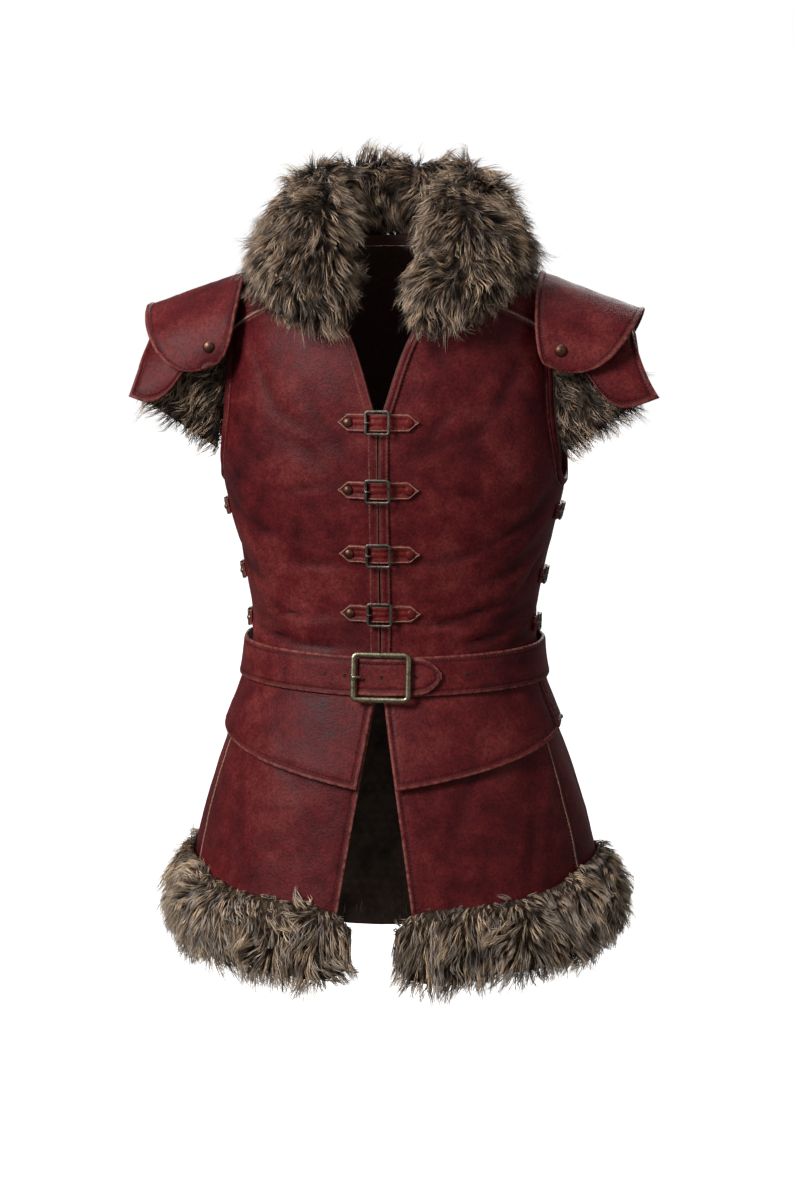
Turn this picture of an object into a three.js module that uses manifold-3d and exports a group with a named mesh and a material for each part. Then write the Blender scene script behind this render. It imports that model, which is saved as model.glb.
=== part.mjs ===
// A sleeveless leather tunic vest with a fur collar, layered shoulder caps, four front
// buckles, a belt, a peplum over a split skirt, and a fur hem, held in its worn form.
// Millimetres, +Z up. The front faces -Y and the wearer's left side is +X.
// The origin lies between the shoulders, at the height where they carry the vest.
import * as THREE from 'three';
import Module from 'manifold-3d';
import { mergeVertices } from 'three/addons/utils/BufferGeometryUtils.js';

const wasm = await Module();
wasm.setup();

// Driving dimensions
const leather = 2.5;
const liningCloth = 1.5;
const gap = 0.3;
const halfGap = gap / 2;
const quarterTurn = Math.PI / 2;

// The form under the leather, one row for each level: half width, depth to the front and to
// the back of the side seams, and how square the outline is (2 is an ellipse).
const bodyLevels = [
  { height: -840, halfWidth: 259, front: 182, back: 178, square: 2.15 },
  { height: -752, halfWidth: 250, front: 171, back: 168, square: 2.15 },
  { height: -668, halfWidth: 234, front: 158, back: 156, square: 2.15 },
  { height: -600, halfWidth: 215, front: 147, back: 145, square: 2.2 },
  { height: -535, halfWidth: 193, front: 133, back: 131, square: 2.2 },
  { height: -471, halfWidth: 173, front: 118, back: 113, square: 2.2 },
  { height: -410, halfWidth: 168, front: 113, back: 107, square: 2.2 },
  { height: -343, halfWidth: 178, front: 119, back: 112, square: 2.25 },
  { height: -279, halfWidth: 194, front: 127, back: 119, square: 2.3 },
  { height: -222, halfWidth: 205, front: 131, back: 125, square: 2.3 },
  { height: -150, halfWidth: 203, front: 129, back: 126, square: 2.25 },
  { height: -90, halfWidth: 200, front: 121, back: 122, square: 2.15 },
  { height: -45, halfWidth: 196, front: 107, back: 111, square: 2.05 },
  { height: -17, halfWidth: 186, front: 88, back: 96, square: 2 },
  { height: 4, halfWidth: 128, front: 75, back: 84, square: 2 },
  { height: 22, halfWidth: 82, front: 60, back: 68, square: 2 },
];

// Half the opening between the front edges: the V neck above, the split skirt below.
const frontEdges = [
  { height: -840, halfWidth: 58 },
  { height: -780, halfWidth: 50 },
  { height: -700, halfWidth: 38 },
  { height: -600, halfWidth: 22 },
  { height: -520, halfWidth: 9 },
  { height: -464, halfWidth: 1.2 },
  { height: -400, halfWidth: 0.6 },
  { height: -180, halfWidth: 0.6 },
  { height: -160, halfWidth: 4 },
  { height: -140, halfWidth: 10 },
  { height: -110, halfWidth: 19 },
  { height: -80, halfWidth: 30 },
  { height: -55, halfWidth: 43 },
  { height: -30, halfWidth: 58 },
  { height: -15, halfWidth: 66 },
  { height: 8, halfWidth: 77 },
  { height: 22, halfWidth: 82 },
];

// The largest folds, as troughs (negative) and ridges on the leather: place by angle from the
// centre front (wearer's left positive) and height, run, slope in degrees, width and depth.
const folds = [
  { angle: -62, height: -352, run: 95, slope: -28, width: 17, depth: -3.4 },
  { angle: -48, height: -378, run: 85, slope: -20, width: 15, depth: 3.0 },
  { angle: -55, height: -405, run: 80, slope: -12, width: 13, depth: -3.0 },
  { angle: -30, height: -412, run: 70, slope: 6, width: 12, depth: 2.2 },
  { angle: 58, height: -340, run: 90, slope: 30, width: 17, depth: -3.2 },
  { angle: 46, height: -366, run: 90, slope: 24, width: 15, depth: 2.8 },
  { angle: 60, height: -398, run: 75, slope: 14, width: 13, depth: -3.0 },
  { angle: 28, height: -414, run: 70, slope: -4, width: 12, depth: 2.2 },
  { angle: -24, height: -196, run: 70, slope: -42, width: 15, depth: -2.4 },
  { angle: 24, height: -204, run: 60, slope: 40, width: 15, depth: -2.0 },
  { angle: -66, height: -268, run: 60, slope: -50, width: 16, depth: -2.6 },
  { angle: 67, height: -262, run: 60, slope: 48, width: 16, depth: -2.6 },
  { angle: -128, height: -356, run: 95, slope: 24, width: 17, depth: -3.2 },
  { angle: -140, height: -392, run: 85, slope: 14, width: 14, depth: 2.8 },
  { angle: 126, height: -348, run: 90, slope: -26, width: 17, depth: -3.2 },
  { angle: 142, height: -400, run: 85, slope: -12, width: 14, depth: 2.8 },
  { angle: 168, height: -380, run: 70, slope: 4, width: 14, depth: -2.6 },
];

// The skirt hangs in soft flutes below the hips.
const skirtFlutes = [
  { angle: -104, width: 15, depth: 6 },
  { angle: -68, width: 12, depth: -4 },
  { angle: -36, width: 14, depth: 4 },
  { angle: 38, width: 14, depth: 4.5 },
  { angle: 70, width: 12, depth: -4 },
  { angle: 106, width: 15, depth: 6 },
  { angle: 138, width: 16, depth: -6 },
  { angle: 162, width: 13, depth: 5 },
  { angle: -140, width: 16, depth: -6 },
  { angle: -160, width: 13, depth: 5 },
];

const armhole = { height: -134.5, halfHeight: 117.5, halfAngle: degrees(25), square: 2.5 };
const yokeSeam = -72;
const neckHeight = 22;
const yokeCornerShare = 0.6;
const seamAngle = degrees(0.05);
const peplum = { frontDrop: 131, sideDrop: 76, backDrop: 104, topRise: 9, rolled: 1.2 };
const hemHeights = [
  { angle: 0, leatherEdge: -780, furTop: -716, furBottom: -815, lining: -826 },
  { angle: 45, leatherEdge: -771, furTop: -700, furBottom: -811, lining: -806 },
  { angle: 75, leatherEdge: -757, furTop: -678, furBottom: -797, lining: -752 },
  { angle: 95, leatherEdge: -753, furTop: -672, furBottom: -790, lining: -752 },
  { angle: 125, leatherEdge: -764, furTop: -682, furBottom: -800, lining: -792 },
  { angle: 150, leatherEdge: -780, furTop: -697, furBottom: -813, lining: -821 },
  { angle: 180, leatherEdge: -784, furTop: -702, furBottom: -816, lining: -826 },
];
const skirtSeam = degrees(70);
const furSeam = degrees(0.1);
const furPastEdge = 20;
const belt = { height: 46, thickness: 3.4, lift: 6.7, tip: 69, tuck: -22 };
const strap = {
  height: 20, thickness: 2.4, tip: 46, tabEnd: 12.2, billetEnd: 10.4, rivetAt: 35,
  lift: 1.4, bandLift: 4.2, buckleLift: 9.6, rivetGap: 0.8, rivetSunk: 1,
};
const strapHeights = [-169, -246, -320, -390];
const smallBuckle = { width: 30, height: 29, gauge: 3.4, depth: 3, prong: 2.2, corner: 1 };
const beltBuckle = { width: 70, height: 58, gauge: 6.4, depth: 4.6, prong: 4.4, corner: 3, across: 3 };
const sideBuckle = { width: 22, height: 21, gauge: 3, depth: 5, prong: 1.8, corner: 1 };
const sideHeights = [-280, -356, -413];
const rivetRadius = 6;
const capRivet = { radius: 7, x: 203, arc: 126, lift: 1.6 };

const oxblood = new THREE.MeshStandardMaterial({ color: 0x5a1f22, roughness: 0.5 });
const redStrap = new THREE.MeshStandardMaterial({ color: 0x74282a, roughness: 0.5 });
const fur = new THREE.MeshStandardMaterial({ color: 0x6e5d48, roughness: 0.95 });
const darkCloth = new THREE.MeshStandardMaterial({ color: 0x2a211c, roughness: 0.9 });
const pewter = new THREE.MeshStandardMaterial({ color: 0x6b645c, roughness: 0.4, metalness: 1 });
const oldBrass = new THREE.MeshStandardMaterial({ color: 0x8a8060, roughness: 0.35, metalness: 1 });

function degrees(value) {
  return value * Math.PI / 180;
}

function signedPower(value, power) {
  return Math.sign(value) * Math.pow(Math.abs(value), power);
}

function mix(start, end, share) {
  return start + (end - start) * share;
}

function clamp(value, low, high) {
  return Math.min(high, Math.max(low, value));
}

// 1 at the middle, falling to 0 about two widths away
function bump(distance, width) {
  return Math.exp(-0.5 * (distance / width) ** 2);
}

// A smooth curve through one column of a table, read at a value of its key column.
function read(table, key, column, at) {
  const last = table.length - 1;
  if (at <= table[0][key]) {
    return table[0][column];
  }
  if (at >= table[last][key]) {
    return table[last][column];
  }
  const index = table.findIndex((row) => row[key] > at) - 1;
  const slope = (row) => {
    const before = table[Math.max(row - 1, 0)];
    const after = table[Math.min(row + 1, last)];
    return (after[column] - before[column]) / (after[key] - before[key]);
  };
  const low = table[index];
  const high = table[index + 1];
  const span = high[key] - low[key];
  const share = (at - low[key]) / span;
  const squared = share * share;
  const cubed = squared * share;
  return (2 * cubed - 3 * squared + 1) * low[column]
    + (cubed - 2 * squared + share) * span * slope(index)
    + (3 * squared - 2 * cubed) * high[column]
    + (cubed - squared) * span * slope(index + 1);
}

// Angles run from the centre front, with the wearer's left positive.
function wrap(angle) {
  return Math.atan2(Math.sin(angle), Math.cos(angle));
}

function foldRelief(angle, height) {
  const girth = 165;
  let relief = 0;
  for (const fold of folds) {
    const across = wrap(angle - degrees(fold.angle)) * girth;
    const up = height - fold.height;
    const turn = degrees(fold.slope);
    const along = across * Math.cos(turn) + up * Math.sin(turn);
    const away = up * Math.cos(turn) - across * Math.sin(turn);
    relief += fold.depth * bump(along, fold.run / 2) * bump(away, fold.width / 2);
  }
  return relief;
}

function fluteRelief(angle, height) {
  const share = clamp((-520 - height) / 260, 0, 1.2);
  let relief = 0;
  for (const flute of skirtFlutes) {
    relief += flute.depth * bump(wrap(angle - degrees(flute.angle)), degrees(flute.width) / 2);
  }
  return relief * share;
}

function formPoint(angle, height) {
  const halfWidth = read(bodyLevels, 'height', 'halfWidth', height);
  const depth = read(bodyLevels, 'height', Math.cos(angle) > 0 ? 'front' : 'back', height);
  const power = 2 / read(bodyLevels, 'height', 'square', height);
  const relief = foldRelief(angle, height) + fluteRelief(angle, height);
  const x = (halfWidth + relief) * signedPower(Math.sin(angle), power);
  const y = -(depth + relief) * signedPower(Math.cos(angle), power);
  return new THREE.Vector3(x, y, height);
}

function formNormal(angle, height) {
  const step = 0.02;
  const rise = 1.5;
  const across = formPoint(angle + step, height).sub(formPoint(angle - step, height));
  const up = formPoint(angle, height + rise).sub(formPoint(angle, height - rise));
  return across.cross(up).normalize();
}

// A point on the vest's leather, or a lift above it (below it, if negative).
function bodyPoint(angle, height, lift) {
  return formPoint(angle, height).addScaledVector(formNormal(angle, height), lift);
}

function angleAcross(x, height) {
  const halfWidth = read(bodyLevels, 'height', 'halfWidth', height);
  const square = read(bodyLevels, 'height', 'square', height);
  return Math.asin(clamp(signedPower(x / halfWidth, square / 2), -1, 1));
}

function frontEdge(height) {
  return read(frontEdges, 'height', 'halfWidth', height);
}

function frontAngle(height, extra) {
  return angleAcross(frontEdge(height) + extra, height);
}

// Measured from the side seam, 0 above and below the armhole
function armholeSpread(height) {
  const share = Math.abs((height - armhole.height) / armhole.halfHeight);
  if (share >= 1) {
    return 0;
  }
  return armhole.halfAngle * Math.pow(1 - Math.pow(share, armhole.square), 1 / armhole.square);
}

// The armhole's edge by its turn: 0 at the shoulder, a quarter at the front
function armholeEdge(turn) {
  const power = 2 / armhole.square;
  return {
    angle: quarterTurn - armhole.halfAngle * signedPower(Math.sin(turn), power),
    height: armhole.height + armhole.halfHeight * signedPower(Math.cos(turn), power),
  };
}

function waistSeam(angle) {
  const share = Math.abs(wrap(angle)) / quarterTurn;
  return -464 + 9 * share;
}

function hem(angle, column) {
  return read(hemHeights, 'angle', column, Math.abs(wrap(angle)) * 180 / Math.PI);
}

// Closed solids from points

function solidFrom(points, faces) {
  let volume = 0;
  const edge = new THREE.Vector3();
  for (const [a, b, c] of faces) {
    volume += points[a].dot(edge.copy(points[b]).cross(points[c]));
  }
  const outward = volume > 0 ? faces : faces.map(([a, b, c]) => [a, c, b]);
  const geometry = new THREE.BufferGeometry();
  const flat = new Float32Array(points.flatMap((point) => [point.x, point.y, point.z]));
  geometry.setAttribute('position', new THREE.BufferAttribute(flat, 3));
  geometry.setIndex(outward.flat());
  geometry.computeVertexNormals();
  return geometry;
}

function addQuad(faces, a, b, c, d) {
  faces.push([a, b, c], [a, c, d]);
}

// A wall: pointAt(across, up, side) gives the outer face for side 1 and the inner for side 0,
// at each pair of shares of the two lists.
function wall(acrossShares, upShares, pointAt) {
  const columns = acrossShares.length;
  const rows = upShares.length;
  const points = [];
  const faces = [];
  for (const side of [1, 0]) {
    for (const up of upShares) {
      for (const across of acrossShares) {
        points.push(pointAt(across, up, side));
      }
    }
  }
  const at = (column, row, side) => (side ? 0 : columns * rows) + row * columns + column;
  for (let row = 0; row < rows - 1; row += 1) {
    for (let column = 0; column < columns - 1; column += 1) {
      const next = column + 1;
      const above = row + 1;
      addQuad(faces, at(column, row, 1), at(next, row, 1), at(next, above, 1), at(column, above, 1));
      addQuad(faces, at(column, row, 0), at(column, above, 0), at(next, above, 0), at(next, row, 0));
    }
  }
  for (let column = 0; column < columns - 1; column += 1) {
    const next = column + 1;
    const top = rows - 1;
    addQuad(faces, at(column, 0, 1), at(column, 0, 0), at(next, 0, 0), at(next, 0, 1));
    addQuad(faces, at(column, top, 1), at(next, top, 1), at(next, top, 0), at(column, top, 0));
  }
  for (let row = 0; row < rows - 1; row += 1) {
    const above = row + 1;
    const end = columns - 1;
    addQuad(faces, at(0, row, 1), at(0, above, 1), at(0, above, 0), at(0, row, 0));
    addQuad(faces, at(end, row, 1), at(end, row, 0), at(end, above, 0), at(end, above, 1));
  }
  return solidFrom(points, faces);
}

// A solid through rings of points, closed on itself or with its two ends capped
function loft(rings, closed) {
  const size = rings[0].length;
  const points = rings.flat();
  const faces = [];
  const joins = closed ? rings.length : rings.length - 1;
  for (let ring = 0; ring < joins; ring += 1) {
    const next = (ring + 1) % rings.length;
    for (let point = 0; point < size; point += 1) {
      const beside = (point + 1) % size;
      addQuad(faces, ring * size + point, ring * size + beside, next * size + beside, next * size + point);
    }
  }
  if (!closed) {
    for (const [ring, order] of [[0, 1], [rings.length - 1, -1]]) {
      const middle = new THREE.Vector3();
      rings[ring].forEach((point) => middle.add(point));
      points.push(middle.divideScalar(size));
      for (let point = 0; point < size; point += 1) {
        const pair = [ring * size + point, ring * size + (point + 1) % size];
        faces.push([points.length - 1, pair[order > 0 ? 1 : 0], pair[order > 0 ? 0 : 1]]);
      }
    }
  }
  return solidFrom(points, faces);
}

function even(count) {
  return Array.from({ length: count + 1 }, (unused, index) => index / count);
}

function manifoldOf(geometry) {
  const bare = geometry.clone();
  bare.deleteAttribute('normal');
  bare.deleteAttribute('uv');
  const merged = mergeVertices(bare, 1e-4);
  const mesh = new wasm.Mesh({
    numProp: 3,
    vertProperties: merged.attributes.position.array,
    triVerts: new Uint32Array(merged.index.array),
  });
  return new wasm.Manifold(mesh);
}

function joined(parts) {
  const whole = parts.map(manifoldOf).reduce((sum, part) => sum.add(part));
  const mesh = whole.getMesh();
  const geometry = new THREE.BufferGeometry();
  geometry.setAttribute('position', new THREE.BufferAttribute(mesh.vertProperties, 3));
  geometry.setIndex(new THREE.BufferAttribute(mesh.triVerts, 1));
  geometry.computeVertexNormals();
  return geometry;
}

const vest = new THREE.Group();
const sides = [{ name: 'right', sign: -1 }, { name: 'left', sign: 1 }];

function add(name, geometry, material) {
  const mesh = new THREE.Mesh(geometry, material);
  mesh.name = name;
  vest.add(mesh);
  return mesh;
}

// Body panels. Each level joins a height at the front edge, the side and the centre back.
const panelLevels = [
  { row: 0, front: -464, side: -455, back: -446 },
  { row: 0.14, front: -418, side: -412, back: -404 },
  { row: 0.3, front: -362, side: -358, back: -352 },
  { row: 0.46, front: -304, side: -304, back: -300 },
  { row: 0.61, front: -240, side: -252, back: -244 },
  { row: 0.69, front: -205, side: -234, back: -218 },
  { row: 0.77, front: -168, side: -205, back: -185 },
  { row: 0.86, front: -118, side: -160, back: -146 },
  { row: 0.93, front: -68, side: -118, back: -112 },
  { row: 1, front: -15, side: yokeSeam, back: yokeSeam },
];

function frontPanel(sign) {
  return wall(even(10), even(17), (across, up, side) => {
    const inner = read(panelLevels, 'row', 'front', up);
    const outer = read(panelLevels, 'row', 'side', up);
    const trim = up === 0 ? halfGap : (up === 1 ? -halfGap : 0);
    const height = mix(inner, outer, across) + trim;
    const start = frontAngle(inner, 0);
    const end = quarterTurn - armholeSpread(outer) - seamAngle;
    return bodyPoint(sign * mix(start, end, across), height, (side - 1) * leather);
  });
}

function backPanel(sign) {
  return wall(even(8), even(14), (across, up, side) => {
    const outer = read(panelLevels, 'row', 'side', up);
    const inner = read(panelLevels, 'row', 'back', up);
    const trim = up === 0 ? halfGap : (up === 1 ? -halfGap : 0);
    const end = quarterTurn + armholeSpread(outer) + seamAngle;
    const angle = mix(Math.PI - seamAngle, end, across);
    return bodyPoint(sign * angle, mix(inner, outer, across) + trim, (side - 1) * leather);
  });
}

// The neck edge from the front yoke seam, over the shoulder, to the centre back
function neckEdge(share) {
  const shoulderShare = 0.3;
  if (share < shoulderShare) {
    const height = mix(-15, neckHeight, Math.sqrt(share / shoulderShare));
    return { angle: frontAngle(height, 0), height };
  }
  const round = (share - shoulderShare) / (1 - shoulderShare);
  return { angle: mix(quarterTurn, Math.PI - seamAngle, round), height: neckHeight };
}

// The yoke's other edge: round the armhole, then along the level back seam
function yokeEdge(share) {
  const seamTurn = Math.acos(((yokeSeam - armhole.height) / armhole.halfHeight) ** (armhole.square / 2));
  if (share <= yokeCornerShare) {
    return armholeEdge(mix(seamTurn, -seamTurn, share / yokeCornerShare));
  }
  const along = (share - yokeCornerShare) / (1 - yokeCornerShare);
  const corner = armholeEdge(-seamTurn);
  return { angle: mix(corner.angle, Math.PI - seamAngle, along), height: yokeSeam };
}

function yoke(sign) {
  return wall(even(6), even(15), (across, round, side) => {
    const neck = neckEdge(round);
    const edge = yokeEdge(round);
    const angle = mix(neck.angle, edge.angle, across);
    const frontTrim = round === 0 ? halfGap : 0;
    const backTrim = round > yokeCornerShare ? halfGap * across : 0;
    const height = mix(neck.height, edge.height, across) + frontTrim + backTrim;
    return bodyPoint(sign * angle, height, (side - 1) * leather);
  });
}

// A low band that stands on the back neck edge and leans out a little
function collarStand() {
  const reach = degrees(82);
  const standHeight = 12.5;
  const thickness = 2;
  const leanOut = 3;
  return wall(even(16), even(1), (across, up, side) => {
    const angle = Math.PI + mix(-reach, reach, across);
    const foot = formPoint(angle, neckHeight);
    const outward = new THREE.Vector3(foot.x, foot.y, 0).normalize();
    foot.addScaledVector(outward, (side - 1) * thickness + leanOut * (up - 0.2));
    foot.z += gap + up * standHeight;
    return foot;
  });
}

// A fur roll round the neck, from its blunt front end to the centre back. Each row is a
// station: its middle, half its size across and along its own rise, the way it faces seen from
// above, how far the rise pitches forward, and how far its top leans over the neck.
const collarStations = [
  { share: 0, x: 66, y: -132, z: -50, across: 26, rise: 14, facing: 80, pitch: 70, lean: 0 },
  { share: 0.05, x: 70, y: -128, z: -44, across: 44, rise: 28, facing: 80, pitch: 66, lean: 4 },
  { share: 0.15, x: 80, y: -114, z: -24, across: 58, rise: 42, facing: 82, pitch: 56, lean: 10 },
  { share: 0.3, x: 92, y: -88, z: 8, across: 62, rise: 60, facing: 85, pitch: 38, lean: 22 },
  { share: 0.45, x: 98, y: -52, z: 34, across: 62, rise: 77, facing: 88, pitch: 18, lean: 30 },
  { share: 0.6, x: 107, y: -5, z: 50, across: 50, rise: 79, facing: 97, pitch: 0, lean: 30 },
  { share: 0.75, x: 87, y: 57, z: 60, across: 45, rise: 71, facing: 130, pitch: 0, lean: 16 },
  { share: 0.88, x: 50, y: 86, z: 72, across: 42, rise: 60, facing: 158, pitch: 0, lean: 4 },
  { share: 1, x: 0, y: 99, z: 78, across: 40, rise: 54, facing: 180, pitch: 0, lean: 2 },
];

function collarRing(sign, share) {
  const column = (name) => read(collarStations, 'share', name, share);
  const facing = degrees(column('facing'));
  const pitch = degrees(column('pitch'));
  const outward = new THREE.Vector3(Math.sin(facing), -Math.cos(facing), 0);
  const rising = new THREE.Vector3(0, -Math.sin(pitch), Math.cos(pitch));
  const middle = new THREE.Vector3(column('x'), column('y'), column('z'));
  const corners = 14;
  const power = 0.86;
  const innerLean = 0.3;
  return even(corners).slice(0, corners).map((part, index) => {
    const turn = part * 2 * Math.PI;
    const lock = 1 + 0.03 * Math.sin(index * 2.4 + share * 37);
    const up = signedPower(Math.sin(turn), power) * lock;
    const across = signedPower(Math.cos(turn), power);
    const leaning = up * column('lean') * (across > 0 ? 1 : innerLean);
    const out = across * column('across') * lock - leaning;
    const point = middle.clone().addScaledVector(outward, out).addScaledVector(rising, up * column('rise'));
    point.x = Math.max(point.x, halfGap);
    return raiseOffBody(point).multiply(new THREE.Vector3(sign, 1, 1));
  });
}

// Lifts a point of the fur that would lie in the leather, or in the collar stand, clear of it
function raiseOffBody(point) {
  const direction = Math.atan2(point.x, -point.y);
  const clear = mix(2.5, 5.5, clamp(Math.cos(direction) * 1.5, 0, 1));
  const reach = Math.hypot(point.x, point.y) - clear;
  const outlineAt = (height) => {
    const edge = formPoint(plainAngle(direction, height), height);
    return Math.hypot(edge.x, edge.y);
  };
  const standTop = 44;
  const standRoom = 15;
  if (reach < outlineAt(neckHeight) + standRoom) {
    point.z = Math.max(point.z, standTop);
    return point;
  }
  if (point.z > neckHeight || outlineAt(point.z) <= reach) {
    return point;
  }
  let low = point.z;
  let high = neckHeight;
  for (let step = 0; step < 16; step += 1) {
    const middle = (low + high) / 2;
    if (outlineAt(middle) > reach) {
      low = middle;
    } else {
      high = middle;
    }
  }
  point.z = high + clear * 0.7;
  return point;
}

// The outline's own angle for a direction seen from above
function plainAngle(direction, height) {
  const halfWidth = read(bodyLevels, 'height', 'halfWidth', height);
  const depth = read(bodyLevels, 'height', Math.cos(direction) > 0 ? 'front' : 'back', height);
  const power = read(bodyLevels, 'height', 'square', height) / 2;
  const across = signedPower(Math.sin(direction) / halfWidth, power);
  const ahead = signedPower(Math.cos(direction) / depth, power);
  return Math.atan2(across, ahead);
}

function furCollar(sign) {
  return loft(even(18).map((share) => collarRing(sign, share)), false);
}

// A raised band along the closure and the V neck
function frontBand(sign) {
  const bandWidth = 11;
  const lowest = -452;
  const highest = -17;
  const inside = 0.9;
  const outside = 2.8;
  const crown = 0.6;
  return wall([0, 0.5, 1], even(26), (across, up, side) => {
    const height = mix(lowest, highest, up);
    const raised = across > 0 && across < 1 ? crown : 0;
    const lift = side ? outside + raised : inside;
    return bodyPoint(sign * frontAngle(height, gap + across * bandWidth), height, lift);
  });
}

function armholeBand(sign) {
  const halfAcross = 4.4;
  const halfThick = 3.2;
  const standOff = 1.5;
  const stations = 30;
  const corners = 6;
  const rings = even(stations).slice(0, stations).map((share) => {
    const turn = share * 2 * Math.PI;
    const edge = armholeEdge(turn);
    const middle = bodyPoint(edge.angle, edge.height, -leather / 2);
    const near = armholeEdge(turn + 0.03);
    const along = bodyPoint(near.angle, near.height, -leather / 2).sub(middle).normalize();
    const normal = formNormal(edge.angle, edge.height);
    const inward = along.clone().cross(normal).normalize();
    const centre = bodyPoint(quarterTurn, armhole.height, 0);
    if (inward.dot(centre.sub(middle)) < 0) {
      inward.negate();
    }
    middle.addScaledVector(inward, halfAcross + standOff);
    const ring = [];
    for (let corner = 0; corner < corners; corner += 1) {
      const round = corner * 2 * Math.PI / corners;
      ring.push(middle.clone().addScaledVector(inward, Math.cos(round) * halfAcross)
        .addScaledVector(normal, Math.sin(round) * halfThick).multiply(new THREE.Vector3(sign, 1, 1)));
    }
    return ring;
  });
  return loft(rings, true);
}

// Shoulder caps are arched plates. The ridge line runs out over the shoulder, and the plate
// falls to front and back round an arch, then straight down.
const upperCap = {
  radius: 92, ridgeStart: 172, ridgeHeight: -3.5, slope: 0.36,
  inner: 171, outer: 291, middle: 205, reach: 150, outerSquare: 2.1, innerSquare: 8,
};
const lowerCap = {
  radius: 84, ridgeStart: 195, ridgeHeight: -22, slope: 0.575, inner: 197, outer: 278, flare: 22,
};
const rolledEdge = 1.6;
const lowerCapReach = [
  { x: 190, reach: 96 },
  { x: 215, reach: 106 },
  { x: 233, reach: 120 },
  { x: 254, reach: 135 },
  { x: 274, reach: 135 },
  { x: 294, reach: 122 },
  { x: 316, reach: 106 },
];

function archPoint(cap, x, arc, lift) {
  const ridge = cap.ridgeHeight - (x - cap.ridgeStart) * cap.slope;
  const flank = cap.radius * quarterTurn;
  const turn = clamp(arc / cap.radius, -quarterTurn, quarterTurn);
  const below = Math.max(Math.abs(arc) - flank, 0);
  const radius = cap.radius + lift;
  return new THREE.Vector3(x, -radius * Math.sin(turn), ridge - cap.radius + radius * Math.cos(turn) - below);
}

function capUpper(sign) {
  const crowding = degrees(80);
  const rows = even(14).map((share) => Math.sin((share * 2 - 1) * crowding) / Math.sin(crowding));
  const rim = 0.07;
  const columns = [0, rim, 0.35, 0.65, 1 - rim, 1];
  return wall(columns, rows, (across, round, side) => {
    const cap = upperCap;
    const share = Math.abs(round) * 0.99;
    const rounding = (square) => Math.pow(1 - Math.pow(share, square), 1 / square);
    const outer = mix(cap.middle, cap.outer, rounding(cap.outerSquare));
    const inner = mix(cap.middle, cap.inner, rounding(cap.innerSquare));
    const rolled = across < 0.01 || across > 0.99 || Math.abs(round) > 0.999 ? rolledEdge : 0;
    const lift = side ? rolled : -leather;
    const point = archPoint(cap, mix(inner, outer, across), round * cap.reach, lift);
    return point.setX(sign * point.x);
  });
}

function capLower(sign) {
  const rows = even(14).map((share) => share * 2 - 1);
  return wall([0, 0.25, 0.5, 0.75, 0.94, 1], rows, (across, round, side) => {
    const cap = lowerCap;
    const outer = cap.outer + cap.flare * Math.pow(Math.abs(round), 1.5);
    const x = mix(cap.inner, outer, across);
    const rolled = across > 0.99 || Math.abs(round) > 0.999 ? rolledEdge : 0;
    const arc = round * read(lowerCapReach, 'x', 'reach', x);
    return archPoint(cap, x, arc, side ? rolled : -leather).multiply(new THREE.Vector3(sign, 1, 1));
  });
}

// Fur under the caps: an arch from the armhole to the caps' rim, open below
function furSleeve(sign) {
  const sleeve = {
    thickness: 24, armholeTurn: degrees(132), rimTurn: degrees(91), rim: 264, flare: 24, underCap: 9,
    topInset: [19, 10], sideInset: [11.5, 2], clearOfBand: 12, lowerIn: 4, tuft: 1.4,
  };
  const rows = even(16).map((share) => share * 2 - 1);
  return wall(even(4), rows, (across, round, side) => {
    const edge = armholeEdge(round * sleeve.armholeTurn);
    const start = formPoint(edge.angle, edge.height);
    start.y -= Math.sign(start.y) * Math.min(sleeve.sideInset[side], Math.abs(start.y));
    start.z += (armhole.height - start.z) * sleeve.topInset[side] / armhole.halfHeight;
    start.x += sleeve.clearOfBand - Math.abs(round) * sleeve.lowerIn;
    const rimX = sleeve.rim + sleeve.flare * Math.pow(Math.abs(round), 1.5);
    const tuft = side * sleeve.tuft * Math.sin(round * 23 + across * 9);
    const rimLift = tuft - sleeve.underCap - (1 - side) * sleeve.thickness;
    const rim = archPoint(lowerCap, rimX, round * lowerCap.radius * sleeve.rimTurn, rimLift);
    return start.lerp(rim, across).multiply(new THREE.Vector3(sign, 1, 1));
  });
}

// A domed rivet head standing on its base, turned to face along a direction
function rivet(radius, base, direction) {
  const profile = [[0, 0], [radius, 0], [radius, 1], [radius * 0.7, 3], [0, 3.8]];
  const dome = new THREE.LatheGeometry(profile.map(([x, y]) => new THREE.Vector2(x, y)), 9);
  const turn = new THREE.Quaternion().setFromUnitVectors(new THREE.Vector3(0, 1, 0), direction);
  dome.applyQuaternion(turn);
  dome.translate(base.x, base.y, base.z);
  return dome;
}

// Straps across the front edges, lifted over the bands
function strapLift(x) {
  const overBand = clamp((24 - Math.abs(x)) / 10, 0, 1);
  const soft = overBand * overBand * (3 - 2 * overBand);
  return mix(strap.lift, strap.bandLift, soft);
}

function strapHalfHeight(x) {
  const pointLength = 11;
  const blunt = 0.12;
  return strap.height / 2 * clamp((strap.tip - Math.abs(x)) / pointLength, blunt, 1);
}

function frontStrap(height, from, to) {
  return wall(even(7), [0, 0.5, 1], (across, up, side) => {
    const x = mix(from, to, across);
    const inBuckle = clamp((11 - Math.abs(x)) / 5, 0, 1);
    const arched = inBuckle * (1 + up * (1 - up) * 6);
    const z = height + (up * 2 - 1) * strapHalfHeight(x);
    return bodyPoint(angleAcross(x, z), z, strapLift(x) + arched + side * strap.thickness);
  });
}

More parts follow.
